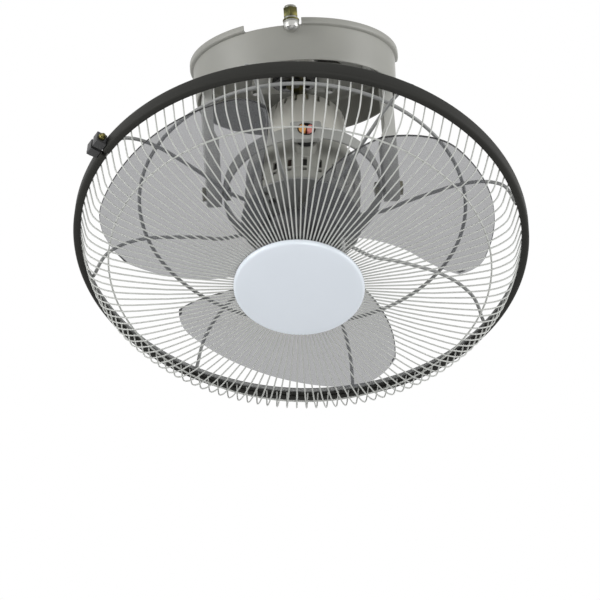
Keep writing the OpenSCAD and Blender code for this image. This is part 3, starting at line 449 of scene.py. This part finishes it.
def make_finishes():
    """Every finish of the fan, by name."""
    rgb = {name: tuple(getattr(colours(), name)) for name in FanColours.__annotations__}
    return {
        "canopy_enamel": baked_paint("canopy_enamel", rgb["canopy"], 0.40, 0.14),
        "arm_enamel": baked_paint("arm_enamel", rgb["bracket"], 0.42, 0.08),
        # painted shade: the arms' and ring's paint darkened to 0.6 for the gimbal ring
        "ring_enamel": baked_paint("ring_enamel", darker(rgb["bracket"], 0.6), 0.42, 0.08),
        "cast_housing": cast_paint("cast_housing", rgb["motor"]),
        "dull_zinc": plated_steel("dull_zinc", (0.26, 0.26, 0.24), (0.19, 0.19, 0.165), 0.42),
        "yellow_zinc": plated_steel("yellow_zinc", (0.17, 0.15, 0.05), (0.045, 0.045, 0.02), 0.34),
        "nickel": plated_steel("nickel", (0.62, 0.62, 0.60), (0.46, 0.46, 0.44), 0.24),
        "turned_steel": turned_steel("turned_steel"),
        "nylon": moulded("nylon", (0.72, 0.70, 0.63), 0.45),
        "grey_nylon": moulded("grey_nylon", (0.36, 0.36, 0.33), 0.45),
        "stator_stack": laminated_steel("stator_stack"),
        "coil_varnish": varnished_copper("coil_varnish"),
        "cover_plastic": moulded("cover_plastic", rgb["cover"], 0.46, 0.0001, cloud=0.07),
        "capacitor_case": moulded("capacitor_case", (0.70, 0.68, 0.62), 0.30),
        "lead_sleeves": lead_sleeves("lead_sleeves"),
        "guard_coat": powder_coat("guard_coat", rgb["spokes"], 0.38),
        "wire_coat": powder_coat("wire_coat", rgb["wires"], 0.34),
        # the rim band's own black plastic, also used as painted shade on the front guard's outer wire ring inside
        # the band
        "rim_plastic": moulded("rim_plastic", rgb["rim"], 0.5, 0.0001, cloud=0.12, shine=0.12),
        "clamp_plastic": moulded("clamp_plastic", (0.03, 0.03, 0.031), 0.40, cloud=0.12),
        "black_plastic": moulded("black_plastic", (0.012, 0.012, 0.013), 0.24, coat=0.2, cloud=0.15),
        "hub_plastic": moulded("hub_plastic", (0.035, 0.035, 0.038), 0.24, coat=0.2, cloud=0.08),
        "cap_plastic": moulded("cap_plastic", rgb["cap"], 0.26, 0.00003, coat=0.35, cloud=0.03),
        "blade_smoke": smoke_resin("blade_smoke", rgb["blades"], 0.40, 0.04),
        # painted shade: the blade resin darkened to 0.12 and made nearly opaque, for the blades' cut edges
        "blade_edge": smoke_resin("blade_edge", darker(rgb["blades"], 0.12), 0.97, -0.02),
    }


# ---------------------------------------------------------------- making shapes


def of_kind(parts, kind):
    """Those of a bmesh operator's results that are of one kind."""
    return [part for part in parts if isinstance(part, kind)]


def round_off(shape, parts, offset, segments, affect="EDGES", material=-1):
    """Bevels edges, or with VERTICES corners, to a round of a given size."""
    bmesh.ops.bevel(
        shape, geom=parts, offset=offset, offset_type="OFFSET", segments=segments, profile=0.5, affect=affect,
        clamp_overlap=True, material=material)


def smooth_line(points, steps):
    """A curve through the points of a middle line, each stretch cut into its own number of steps."""
    knots = [Vector(point) for point in points]
    lengths = [(after - before).length for before, after in zip(knots, knots[1:])]
    ways = [(after - before) / length for before, after, length in zip(knots, knots[1:], lengths)]
    slopes = [ways[0]]
    for i in range(1, len(ways)):
        before, after = lengths[i - 1], lengths[i]
        slopes.append((ways[i - 1] * after + ways[i] * before) / (before + after))
    slopes.append(ways[-1])
    line = []
    for i, count in enumerate(steps):
        for t in (k / count for k in range(count)):
            line.append(
                knots[i] * (1 + 2 * t) * (1 - t) ** 2 + slopes[i] * lengths[i] * t * (1 - t) ** 2
                + knots[i + 1] * (3 - 2 * t) * t ** 2 + slopes[i + 1] * lengths[i] * (t - 1) * t ** 2)
    return [*line, knots[-1]]


def ring_frame(line, i):
    """Where a wire's cross-section stands: at a point of a line in the XZ plane, square to the line."""
    ahead = line[min(i + 1, len(line) - 1)] - line[max(i - 1, 0)]
    turn = math.atan2(ahead[0], ahead[1])
    return Matrix.Translation((line[i][0], 0, line[i][1])) @ Matrix.Rotation(turn, 4, "Y")


def sweep(line, radius, sides):
    """A round wire along a line in the XZ plane, closed at both ends."""
    wire = bmesh.new()
    bmesh.ops.create_circle(
        wire, cap_ends=False, segments=sides, radius=radius, matrix=ring_frame(line, 0))
    first = list(wire.edges)
    loop = first
    for i in range(1, len(line)):
        grown = bmesh.ops.extrude_edge_only(wire, edges=loop)["geom"]
        step = ring_frame(line, i) @ ring_frame(line, i - 1).inverted()
        bmesh.ops.transform(wire, matrix=step, verts=of_kind(grown, bmesh.types.BMVert))
        loop = of_kind(grown, bmesh.types.BMEdge)
    bmesh.ops.holes_fill(wire, edges=[*first, *loop], sides=sides)
    return wire


def repeat_round(shape, count, first=0.0):
    """Copies round the fan's axis, the first of them turned to its place."""
    bmesh.ops.rotate(shape, cent=(0, 0, 0), matrix=Matrix.Rotation(first, 3, "Z"), verts=shape.verts)
    if count > 1:
        bmesh.ops.spin(
            shape, geom=[*shape.verts, *shape.edges, *shape.faces], cent=(0, 0, 0), axis=(0, 0, 1),
            dvec=(0, 0, 0), angle=FULL * (count - 1) / count, steps=count - 1, use_duplicate=True)
    return shape


def lathe(profile, steps, angle=FULL, start=0.0):
    """A closed outline turned round the axis. Its points are radius, height and, at a soft corner, round."""
    shape = bmesh.new()
    corners = [shape.verts.new((point[0], 0, point[1])) for point in profile]
    for one, other in zip(corners, [*corners[1:], corners[0]]):
        shape.edges.new((one, other))
    for corner, point in zip(corners, profile):
        if len(point) > 2:
            round_off(shape, [corner], point[2], 4, "VERTICES")
    whole = abs(angle - FULL) < 1e-6
    outline = list(shape.edges)
    bmesh.ops.rotate(shape, cent=(0, 0, 0), matrix=Matrix.Rotation(start, 3, "Z"), verts=shape.verts)
    made = bmesh.ops.spin(
        shape, geom=[*shape.verts, *shape.edges], cent=(0, 0, 0), axis=(0, 0, 1), dvec=(0, 0, 0), angle=angle,
        steps=steps, use_merge=whole)
    if not whole:
        last = of_kind(made["geom_last"], bmesh.types.BMEdge)
        bmesh.ops.holes_fill(shape, edges=[*outline, *last], sides=0)
    bmesh.ops.remove_doubles(shape, verts=shape.verts, dist=1e-6)
    bmesh.ops.recalc_face_normals(shape, faces=shape.faces)
    return shape


def join_shape(shape, other):
    """Adds another shape to a shape, and frees the other."""
    mesh = bpy.data.meshes.new("joined")
    other.to_mesh(mesh)
    other.free()
    shape.from_mesh(mesh)
    bpy.data.meshes.remove(mesh)


def finish_named(name):
    """A finish that the first operator has made."""
    material = bpy.data.materials.get(f"fan_{name}")
    if material is None:
        raise RuntimeError(f"the finish {name} has not been made yet")
    return material


def finish_piece(name, shape, place, body, nodes, finishes, sharp=math.radians(35)):
    """Puts a shape in its place as a named piece that rides a body and stands for its CAD nodes."""
    bmesh.ops.transform(shape, matrix=place, verts=shape.verts)
    mesh = bpy.data.meshes.new(name)
    shape.to_mesh(mesh)
    shape.free()
    mesh.polygons.foreach_set("use_smooth", [True] * len(mesh.polygons))
    mesh.set_sharp_from_angle(angle=sharp)
    for finish in finishes:
        mesh.materials.append(finish_named(finish))
    piece = bpy.data.objects.new(name, mesh)
    bpy.context.scene.collection.objects.link(piece)
    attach(piece, body)
    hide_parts(*nodes)


SHARP_EDGE = math.radians(28)


def finished_copy(node, bevel, place=Matrix.Identity(4)):
    """A copy of a CAD piece with its sharp edges broken, which stands for the piece."""
    shape = bmesh.new()
    shape.from_mesh(NODES[node].data)
    bmesh.ops.remove_doubles(shape, verts=shape.verts, dist=2e-6)
    bmesh.ops.dissolve_limit(
        shape, angle_limit=math.radians(0.5), use_dissolve_boundaries=False, verts=shape.verts,
        edges=shape.edges)
    edges = [
        edge for edge in shape.edges if len(edge.link_faces) == 2 and edge.calc_face_angle() > SHARP_EDGE]
    round_off(shape, edges, bevel, 2)
    finish_piece(
        f"{node}_finished", shape, place, BODY_OF[node], [node], [FINISH_OF[node]],
        sharp=math.radians(40))


# ---------------------------------------------------------------- operators


class FAN_OT_finishes(bpy.types.Operator):
    """Makes every finish and puts it on the CAD's pieces"""

    bl_idname = "ceiling_fan.finishes"
    bl_label = "Finishes"

    def execute(self, context):
        made = make_finishes()
        for finish, nodes in NODE_FINISH.items():
            for node in nodes:
                mesh = NODES[node].data
                mesh.materials.clear()
                mesh.materials.append(made[finish])
        return {"FINISHED"}


# where a front wire bends, in millimetres inwards from the rim and in front of its middle
WIRE_BEND = ((7.7, 3.2), (11.6, 18), (17, 33), (31, 43.5), (70, 54))
WIRE_STEPS = (3, 3, 3, 3, 2, 1)
WIRE_END_RADIUS = 57 * MM
HUB_PLATE_FRONT = 2.7 * MM    # over the cap's rear edge
WELD = 0.15 * MM    # how far a wire sinks into what it is welded to


class FAN_OT_front_guard(bpy.types.Operator):
    """Bends the front wires from the rim in to the hub plate"""

    bl_idname = "ceiling_fan.front_guard"
    bl_label = "Front guard"

    def execute(self, context):
        size = sizes()
        cap = size.cap_height
        line = smooth_line([
            *((size.rim_radius - inwards * MM, size.rim_height - front * MM) for inwards, front in WIRE_BEND),
            (110 * MM, cap + 4.6 * MM),
            (WIRE_END_RADIUS, cap + HUB_PLATE_FRONT + WELD - size.wire_radius),
        ], WIRE_STEPS)
        wires = repeat_round(sweep(line, size.wire_radius, sides=6), size.wire_count)
        finish_piece(
            "front_wires_round", wires, HEAD, "head", ["front_wires"], ["wire_coat"],
            sharp=math.radians(70))
        return {"FINISHED"}


GUARD_PLATE_RADIUS = 63 * MM
GUARD_PLATE_FRONT = -50 * MM
REAR_RING_HEIGHT = 50 * MM    # over the rim's middle
SPOKE_STEPS = (1, 3, 4, 4, 4, 4, 5, 5, 3, 2)


class FAN_OT_rear_guard(bpy.types.Operator):
    """Bends the rear spokes from the motor's plate out to the rim"""

    bl_idname = "ceiling_fan.rear_guard"
    bl_label = "Rear guard"

    def execute(self, context):
        size = sizes()
        rim, height, plate = size.rim_radius, size.rim_height, GUARD_PLATE_RADIUS
        flat = GUARD_PLATE_FRONT + WELD - size.spoke_radius
        ring_height = height + REAR_RING_HEIGHT + WELD - 2 * size.spoke_radius
        seat = rim - 5.5 * MM - size.spoke_radius
        line = smooth_line([
            (plate - 17 * MM, flat),                # welded flat on the motor's plate
            (plate + 1 * MM, flat),
            (plate + 23 * MM, flat - 0.65 * MM),    # clear of the plate
            (112 * MM, -44 * MM),
            (142 * MM, -36.5 * MM),
            (rim - 64 * MM, ring_height),           # under the rear ring
            (rim - 37 * MM, -35 * MM),              # over the shoulder
            (rim - 21 * MM, -45 * MM),
            (rim - 14 * MM, -59 * MM),
            (seat - 3.6 * MM, height + 8 * MM),     # down to the rear guard's outer ring
            (seat - 1.2 * MM, height + 2 * MM),
        ], SPOKE_STEPS)
        spoke = sweep(line, size.spoke_radius, sides=12)
        spokes = repeat_round(spoke, size.spoke_count, size.spoke_azimuth)
        finish_piece(
            "rear_spokes_round", spokes, HEAD, "head", ["rear_spokes"], ["guard_coat"],
            sharp=math.radians(70))
        return {"FINISHED"}


BAND_WALL = 1.5 * MM
FRONT_FLANGE = 7.5 * MM
REAR_FLANGE = 4 * MM
BAND_GAP = math.radians(1.2)


class FAN_OT_rim(bpy.types.Operator):
    """Turns the rim band that wraps both guards, open at its clamp"""

    bl_idname = "ceiling_fan.rim"
    bl_label = "Rim band"

    def execute(self, context):
        size = sizes()
        outer, half, wall = size.rim_radius, size.rim_width / 2, BAND_WALL
        front, rear = size.rim_height - half, size.rim_height + half
        band = lathe([
            (outer - FRONT_FLANGE, front, 0.6 * MM),
            (outer, front, 3.2 * MM),
            (outer, rear, 3.2 * MM),
            (outer - REAR_FLANGE, rear, 0.6 * MM),
            (outer - REAR_FLANGE, rear - wall),
            (outer - wall, rear - wall, 2.2 * MM),
            (outer - wall, front + wall, 2.2 * MM),
            (outer - FRONT_FLANGE, front + wall),
        ], steps=300, angle=FULL - BAND_GAP, start=size.clamp_azimuth + BAND_GAP / 2)
        finish_piece("rim_band_round", band, HEAD, "head", ["rim_band"], ["rim_plastic"])
        return {"FINISHED"}


CAP_CENTRE = 0.001 * MM    # as near to the axis as the outline comes
PEG_AZIMUTHS = (90, 210, 330)
PEG_CIRCLE = 45 * MM
PEG_RADIUS = 3 * MM
PEG_LENGTH = 9 * MM


class FAN_OT_cap(bpy.types.Operator):
    """Turns the shallow cap at the guard's centre, with its three pegs"""

    bl_idname = "ceiling_fan.cap"
    bl_label = "Centre cap"

    def execute(self, context):
        size = sizes()
        radius, rear = size.cap_radius, size.cap_height
        cap = lathe([
            (CAP_CENTRE, rear - 7 * MM),
            (radius * 0.45, rear - 6.7 * MM, 8 * MM),
            (radius * 0.85, rear - 5.6 * MM, 5 * MM),
            (radius - 0.2 * MM, rear - 4.6 * MM, 2.6 * MM),
            (radius, rear, 0.5 * MM),
            (radius - 2 * MM, rear),
            (radius - 2.6 * MM, rear - 2.6 * MM),
            (radius * 0.45, rear - 4.4 * MM),
            (CAP_CENTRE, rear - 5 * MM),
        ], steps=192)
        peg = Matrix.Translation((PEG_CIRCLE, 0, rear + 0.5 * MM))
        for azimuth in PEG_AZIMUTHS:
            spot = Matrix.Rotation(math.radians(azimuth), 4, "Z") @ peg
            bmesh.ops.create_cone(
                cap, cap_ends=True, segments=24, radius1=PEG_RADIUS, radius2=PEG_RADIUS, depth=PEG_LENGTH,
                matrix=spot)
        finish_piece("centre_cap_round", cap, HEAD, "head", ["centre_cap"], ["cap_plastic"])
        return {"FINISHED"}


# a blade's edges: azimuth at the hub and swing in degrees, and the length of the swing in millimetres
LOW_EDGE, LOW_SWING, LOW_REACH = 27, 22, 116
HIGH_EDGE, HIGH_SWING, HIGH_REACH = 104, 32, 125
# its tip: how much shorter it is at the high edge, and how far it bulges, in millimetres
TIP_SLANT, TIP_BULGE = 24, 3
# its two corners: where along the width they start, and how far they fall back in millimetres
LOW_CORNER, LOW_FALL = 0.2, 32
HIGH_CORNER, HIGH_FALL = 0.88, 14
# its low edge under the rim's middle and its rise across the width, each at the hub and what the twist adds
LOW_DROP, LOW_TWIST = 16, 4
RISE, RISE_TWIST = 15, 20
TWIST_LENGTH = 70
# its crown across the width, as a share of the rise, and the millimetres more halfway along the twist
CROWN, BELLY = 0.1, 2


def blade_edges(radius, hub):
    """Azimuths of a blade's two edges at a radius in millimetres, both swung forward with the radius."""
    out = max(radius - hub, 0)
    low = LOW_EDGE + LOW_SWING * (out / LOW_REACH) ** 1.15
    high = HIGH_EDGE + HIGH_SWING * math.sin(math.radians(90 * min(1, out / HIGH_REACH))) ** 0.9
    return low, high


def blade_tip(across, reach):
    """Radius of a blade's tip in millimetres at a share of its width, with rounded corners."""
    tip = reach - TIP_SLANT * across + TIP_BULGE * math.sin(math.pi * across)
    if across < LOW_CORNER:
        tip -= LOW_FALL * (1 - across / LOW_CORNER) ** 2.5
    if across > HIGH_CORNER:
        tip -= HIGH_FALL * ((across - HIGH_CORNER) / (1 - HIGH_CORNER)) ** 2
    return tip


def blade_spot(across, along, reach, hub, middle):
    """A point of a blade's middle sheet, in metres, from shares of its width and its length."""
    root = hub - 1
    radius = root + (blade_tip(across, reach) - root) * along
    low, high = blade_edges(radius, hub)
    azimuth = math.radians(low + (high - low) * across)
    share = min(1, max(0, (radius - hub) / TWIST_LENGTH))
    crown = math.sin(math.pi * across)
    height = middle - (LOW_DROP + LOW_TWIST * share)
    height += (RISE + RISE_TWIST * share) * (across + CROWN * crown)
    height += BELLY * math.sin(math.pi * share) * crown
    return Vector((radius * math.cos(azimuth), radius * math.sin(azimuth), height)) * MM


BLADE_GRID = (44, 30)
CUT_EDGE = 1.0    # radians between the faces at a blade's cut edge, at least
CUT_ROUND = 0.6 * MM


class FAN_OT_blades(bpy.types.Operator):
    """Shapes one swept blade from a flat grid, gives it a wall, and sets three round the hub

    A cut edge has painted shade, a dark and nearly opaque finish, where it faces the front at rest, and is as
    clear as the sheet where it faces away.
    """

    bl_idname = "ceiling_fan.blades"
    bl_label = "Blades"

    def execute(self, context):
        size = sizes()
        reach, hub, middle = size.blade_radius / MM, size.hub_radius / MM, size.rim_height / MM
        blade = bmesh.new()
        bmesh.ops.create_grid(blade, x_segments=BLADE_GRID[0], y_segments=BLADE_GRID[1], size=0.5)
        for vert in blade.verts:
            vert.co = blade_spot(vert.co.x + 0.5, vert.co.y + 0.5, reach, hub, middle)
        bmesh.ops.recalc_face_normals(blade, faces=blade.faces)
        bmesh.ops.solidify(blade, geom=blade.faces, thickness=size.blade_thickness)
        cut = [
            edge for edge in blade.edges if len(edge.link_faces) == 2 and edge.calc_face_angle() > CUT_EDGE]
        # faces along a cut edge take the second finish: painted shade in a dark, nearly opaque resin
        for face in blade.faces:
            if sum(edge in cut for edge in face.edges) >= 2:
                face.material_index = 1
        round_off(blade, cut, CUT_ROUND, 2, material=1)
        blades = repeat_round(blade, 3)
        # painted shade: the dark edge finish stays only where a cut edge faces the front at rest, on the camera's
        # side
        near = HEAD.to_3x3().inverted() @ Vector((0, -1, 0))
        blades.normal_update()
        for face in blades.faces:
            if face.normal.xy.dot(near.xy) < 0:
                face.material_index = 0
        finish_piece(
            "blades_smoke", blades, HEAD, "rotor", ["blades"], ["blade_smoke", "blade_edge"],
            sharp=math.radians(50))
        return {"FINISHED"}


DRUM_SHEET = 1.6 * MM
DRUM_BORE = 20 * MM
DRUM_TAPER = 2 * MM
LIP_STEP = 3.5 * MM
LIP_HEIGHT = 6.5 * MM
EAR_HOLE = 3.3 * MM
EAR_RADIUS = 8 * MM
EAR_SHEET = 1.5 * MM
EAR_ROUND = 0.3 * MM
BAR_ROOT = 6 * MM    # where the bar to an ear starts, inside the drum's outer radius
BAR_END = 3.4 * MM    # where it ends, short of the bolt's centre
BAR_SHEET = 1.46 * MM


def drum_wall(wide, top, low):
    """The drum's top plate, and its wall, which narrows down to a rounded edge."""
    narrow, sheet = wide - DRUM_TAPER, DRUM_SHEET
    return lathe([
        (DRUM_BORE, top - sheet),
        (wide - 4.6 * MM, top - sheet, 1.5 * MM),
        (wide - 2.2 * MM, top - 4 * MM, 1.2 * MM),
        (narrow - sheet, low + 1.2 * MM),
        (narrow - sheet, low, 0.5 * MM),
        (narrow, low, 0.7 * MM),
        (narrow + 0.6 * MM, low + 3 * MM, 2 * MM),
        (wide, top - 2.5 * MM, 3 * MM),
        (wide, top, 0.8 * MM),
        (DRUM_BORE, top),
    ], steps=240)


def drum_lip(wide, top, first, angle):
    """One stretch of the stepped lip that stands up round the drum's top."""
    outer, sheet = wide + LIP_STEP, DRUM_SHEET
    return lathe([
        (wide - 3 * MM, top - sheet),
        (wide - 1 * MM, top - sheet),
        (outer - 1 * MM, top - 0.4 * MM, 0.8 * MM),
        (outer, top + 0.8 * MM, 0.8 * MM),
        (outer, top + LIP_HEIGHT, 0.5 * MM),
        (outer - sheet, top + LIP_HEIGHT, 0.5 * MM),
        (outer - sheet, top + 1.6 * MM, 0.6 * MM),
        (wide - 3 * MM, top),
    ], steps=90, angle=angle, start=first)


class FAN_OT_canopy(bpy.types.Operator):
    """Turns the drum, its stepped lip in three stretches, and an ear for a lock bolt in each gap"""

    bl_idname = "ceiling_fan.canopy"
    bl_label = "Canopy"

    def execute(self, context):
        size = sizes()
        top, wide = size.drum_top, size.drum_radius
        drum = drum_wall(wide, top, top - size.drum_height)
        root = wide - BAR_ROOT
        reach = size.lock_radius - BAR_END - root
        bar = Matrix.Translation((root + reach / 2, 0, top - EAR_SHEET / 2))
        bar = bar @ Matrix.Diagonal((reach, 2 * EAR_RADIUS, BAR_SHEET, 1))
        stretch = FULL / 3 - size.lip_gap
        for turn in (0, FULL / 3, FULL * 2 / 3):
            join_shape(drum, drum_lip(wide, top, size.first_gap + size.lip_gap / 2 + turn, stretch))
            around = Matrix.Rotation(size.front_lock + turn, 4, "Z")
            ear = lathe([
                (EAR_HOLE, -EAR_SHEET), (EAR_RADIUS, -EAR_SHEET, EAR_ROUND), (EAR_RADIUS, 0, EAR_ROUND),
                (EAR_HOLE, 0),
            ], steps=48)
            spot = around @ Matrix.Translation((size.lock_radius, 0, top))
            bmesh.ops.transform(ear, matrix=spot, verts=ear.verts)
            join_shape(drum, ear)
            bmesh.ops.create_cube(drum, size=1, matrix=around @ bar)
        finish_piece(
            "canopy_round", drum, Matrix.Identity(4), "mount", ["canopy_drum"],
            ["canopy_enamel"])
        finished_copy("ceiling_bracket", 0.4 * MM)
        finished_copy("lock_bolts", 0.5 * MM)
        finished_copy("lock_nuts", 0.5 * MM)
        finished_copy("lock_washers", 0.25 * MM)
        return {"FINISHED"}


class FAN_OT_arms(bpy.types.Operator):
    """Breaks the edges of the two arms and the gimbal ring"""

    bl_idname = "ceiling_fan.arms"
    bl_label = "Arms and gimbal"

    def execute(self, context):
        for node in ("left_arm", "right_arm", "gimbal_ring"):
            finished_copy(node, 0.5 * MM)
        return {"FINISHED"}


SLEEVE_STRETCH = 1.55


class FAN_OT_motor(bpy.types.Operator):
    """Rounds the edges of the motor's shells, its rear cover, capacitor and socket, and draws out the sleeves

    The two sleeves are squeezed side by side in the trunnion, so they are taller than wide and fill its bore.
    """

    bl_idname = "ceiling_fan.motor"
    bl_label = "Motor and cover"

    def execute(self, context):
        finished_copy("motor_rear_housing", 0.5 * MM)
        finished_copy("motor_front_housing", 0.5 * MM)
        finished_copy("rear_cover", 0.4 * MM)
        finished_copy("capacitor", 1.2 * MM)
        finished_copy("ball_socket", 0.4 * MM)
        taller = HEAD @ Matrix.Diagonal((1, 1, SLEEVE_STRETCH, 1)) @ HEAD.inverted()
        finished_copy("motor_leads", 0.3 * MM, place=taller)
        return {"FINISHED"}


class FAN_OT_drive(bpy.types.Operator):
    """Breaks the edges of the orbit drive's plate, gear, bar and motor"""

    bl_idname = "ceiling_fan.drive"
    bl_label = "Orbit drive"

    def execute(self, context):
        finished_copy("drive_plate", 0.3 * MM)
        finished_copy("crank_gear", 0.15 * MM)
        finished_copy("crank_arm", 0.4 * MM)
        finished_copy("orbit_motor", 0.8 * MM)
        return {"FINISHED"}


class FAN_OT_hub(bpy.types.Operator):
    """Rounds the edges of the blades' hub, its clamp and its nut"""

    bl_idname = "ceiling_fan.hub"
    bl_label = "Hub"

    def execute(self, context):
        finished_copy("blade_hub", 0.5 * MM)
        finished_copy("hub_clamp", 0.4 * MM)
        finished_copy("spinner_nut", 0.4 * MM)
        return {"FINISHED"}


class FAN_OT_clamp(bpy.types.Operator):
    """Rounds the edges of the rim's clamp and its screw"""

    bl_idname = "ceiling_fan.clamp"
    bl_label = "Rim clamp"

    def execute(self, context):
        finished_copy("rim_clamp", 0.8 * MM)
        finished_copy("clamp_screw", 0.3 * MM)
        return {"FINISHED"}


class FAN_OT_stage(bpy.types.Operator):
    """Lays the pale floor and sets the soft lamps, the world and the camera"""

    bl_idname = "ceiling_fan.stage"
    bl_label = "Stage"

    def execute(self, context):
        make_floor()
        make_world(context.scene)
        for lamp in LAMPS:
            make_lamp(*lamp)
        make_camera(context.scene)
        context.scene.view_settings.view_transform = "Standard"
        return {"FINISHED"}


# ---------------------------------------------------------------- stage

FLOOR_HEIGHT = -3.2
FLOOR_RADIUS = 25
FLOOR_WHITE = 0.8    # share of plain white in what the camera sees of the floor
ROOM_LIGHT = 0.38
LAMPS = [    # name, place, width and power
    ("key_lamp", (-2.6, -1.0, 0.2), 1.4, 48.0),
    ("front_lamp", (0.3, -2.4, -1.3), 0.9, 24.0),
    ("side_lamp", (2.5, -0.8, 0.0), 1.6, 40.0),
    ("back_lamp", (0.4, 2.2, 0.5), 1.6, 10.0),
]


def make_floor():
    """A broad pale floor that shows white to the camera and still takes the fan's shadow."""
    shape = bmesh.new()
    under = Matrix.Translation((0, 0, FLOOR_HEIGHT))
    bmesh.ops.create_circle(shape, cap_ends=True, segments=64, radius=FLOOR_RADIUS, matrix=under)
    mesh = bpy.data.meshes.new("floor")
    shape.to_mesh(mesh)
    shape.free()
    floor = bpy.data.objects.new("floor", mesh)
    bpy.context.scene.collection.objects.link(floor)
    pale = Finish("pale_floor")
    grain = pale.noise(3, 2)
    dull = pale.node(
        "ShaderNodeBsdfDiffuse", None, {"Color": pale.mix(grain, (0.84, 0.84, 0.84), (0.88, 0.88, 0.88))})
    white = pale.node("ShaderNodeEmission", None, {"Strength": 1.0})
    share = pale.seen_plainly() * FLOOR_WHITE
    both = pale.node("ShaderNodeMixShader", None, {0: share, 1: dull.outputs[0], 2: white.outputs[0]})
    pale.node("ShaderNodeOutputMaterial", None, {"Surface": both.outputs[0]})
    mesh.materials.append(pale.material)


def make_world(scene):
    """Even pale light from all round, and plain white where the world is seen, as past the floor's edge."""
    world = bpy.data.worlds.new("studio")
    world.use_nodes = True
    sky = NodeWork(world.node_tree)
    room = sky.node("ShaderNodeBackground", None, {"Color": (1, 1, 1, 1), "Strength": ROOM_LIGHT})
    white = sky.node("ShaderNodeBackground", None, {"Color": (1, 1, 1, 1), "Strength": 1.0})
    both = sky.node(
        "ShaderNodeMixShader", None, {0: sky.seen_plainly(), 1: room.outputs[0], 2: white.outputs[0]})
    sky.node("ShaderNodeOutputWorld", None, {"Surface": both.outputs[0]})
    scene.world = world


def make_lamp(name, place, width, power):
    """A square soft lamp that faces the fan."""
    light = bpy.data.lights.new(name, "AREA")
    light.size = width
    light.energy = power
    lamp = bpy.data.objects.new(name, light)
    lamp.location = place
    lamp.rotation_mode = "QUATERNION"
    aim = Vector(JOINTS["head_tilt"]["pos_m"]) - Vector(place)
    lamp.rotation_quaternion = aim.to_track_quat("-Z", "Y")
    bpy.context.scene.collection.objects.link(lamp)


CAMERA_AZIMUTH = math.radians(-6.0047)
CAMERA_RISE = math.radians(20.0552)
CAMERA_ROLL = math.radians(-4.0)
CAMERA_DISTANCE = 2.45083
FOCAL_PIXELS = 2313.93
PIVOT_PIXEL = (302.9, 191.22)
PICTURE = 600


def make_camera(scene):
    """A camera at the photograph's angle, turned so that the gimbal's centre falls on its pixel."""
    centre = Vector(JOINTS["head_tilt"]["pos_m"])
    away = Vector((
        math.sin(CAMERA_AZIMUTH) * math.cos(CAMERA_RISE), -math.cos(CAMERA_AZIMUTH) * math.cos(CAMERA_RISE),
        -math.sin(CAMERA_RISE)))
    forward = -away
    right = forward.cross(Vector((0, 0, 1))).normalized()
    up = right.cross(forward)
    level = Matrix((right, up, away)).transposed()
    rolled = level @ Matrix.Rotation(CAMERA_ROLL, 3, "Z")
    wanted = Vector((PIVOT_PIXEL[0] - PICTURE / 2, PICTURE / 2 - PIVOT_PIXEL[1], -FOCAL_PIXELS))
    shift = Vector((0, 0, -1)).rotation_difference(wanted).to_matrix()
    data = bpy.data.cameras.new("camera")
    data.sensor_width = 36
    data.lens = FOCAL_PIXELS / PICTURE * data.sensor_width
    data.clip_start = 0.1
    data.clip_end = 60
    camera = bpy.data.objects.new("camera", data)
    camera.rotation_mode = "QUATERNION"
    camera.location = centre + away * CAMERA_DISTANCE
    camera.rotation_quaternion = (rolled @ shift.inverted()).to_quaternion()
    scene.collection.objects.link(camera)
    scene.camera = camera


# ---------------------------------------------------------------- panel and registering

STEPS = (
    FAN_OT_finishes, FAN_OT_canopy, FAN_OT_arms, FAN_OT_motor, FAN_OT_drive, FAN_OT_front_guard,
    FAN_OT_rear_guard, FAN_OT_rim, FAN_OT_clamp, FAN_OT_cap, FAN_OT_blades, FAN_OT_hub, FAN_OT_stage,
)


class FAN_PT_panel(bpy.types.Panel):
    """Lists the fan's sizes, colours and steps"""

    bl_label = "Ceiling fan"
    bl_idname = "FAN_PT_panel"
    bl_space_type = "VIEW_3D"
    bl_region_type = "UI"
    bl_category = "Ceiling fan"

    def draw(self, context):
        for group in (context.scene.fan_sizes, context.scene.fan_colours):
            box = self.layout.box()
            for name in group.__annotations__:
                box.prop(group, name)
        for step in STEPS:
            self.layout.operator(step.bl_idname)


CLASSES = (FanSizes, FanColours, *STEPS, FAN_PT_panel)


def register():
    for entry in CLASSES:
        bpy.utils.register_class(entry)
    bpy.types.Scene.fan_sizes = PointerProperty(type=FanSizes)
    bpy.types.Scene.fan_colours = PointerProperty(type=FanColours)


def unregister():
    del bpy.types.Scene.fan_colours
    del bpy.types.Scene.fan_sizes
    for entry in reversed(CLASSES):
        bpy.utils.unregister_class(entry)


def main():
    register()
    for step in STEPS:
        group, name = step.bl_idname.split(".")
        getattr(getattr(bpy.ops, group), name)()


if __name__ == "__main__":
    main()
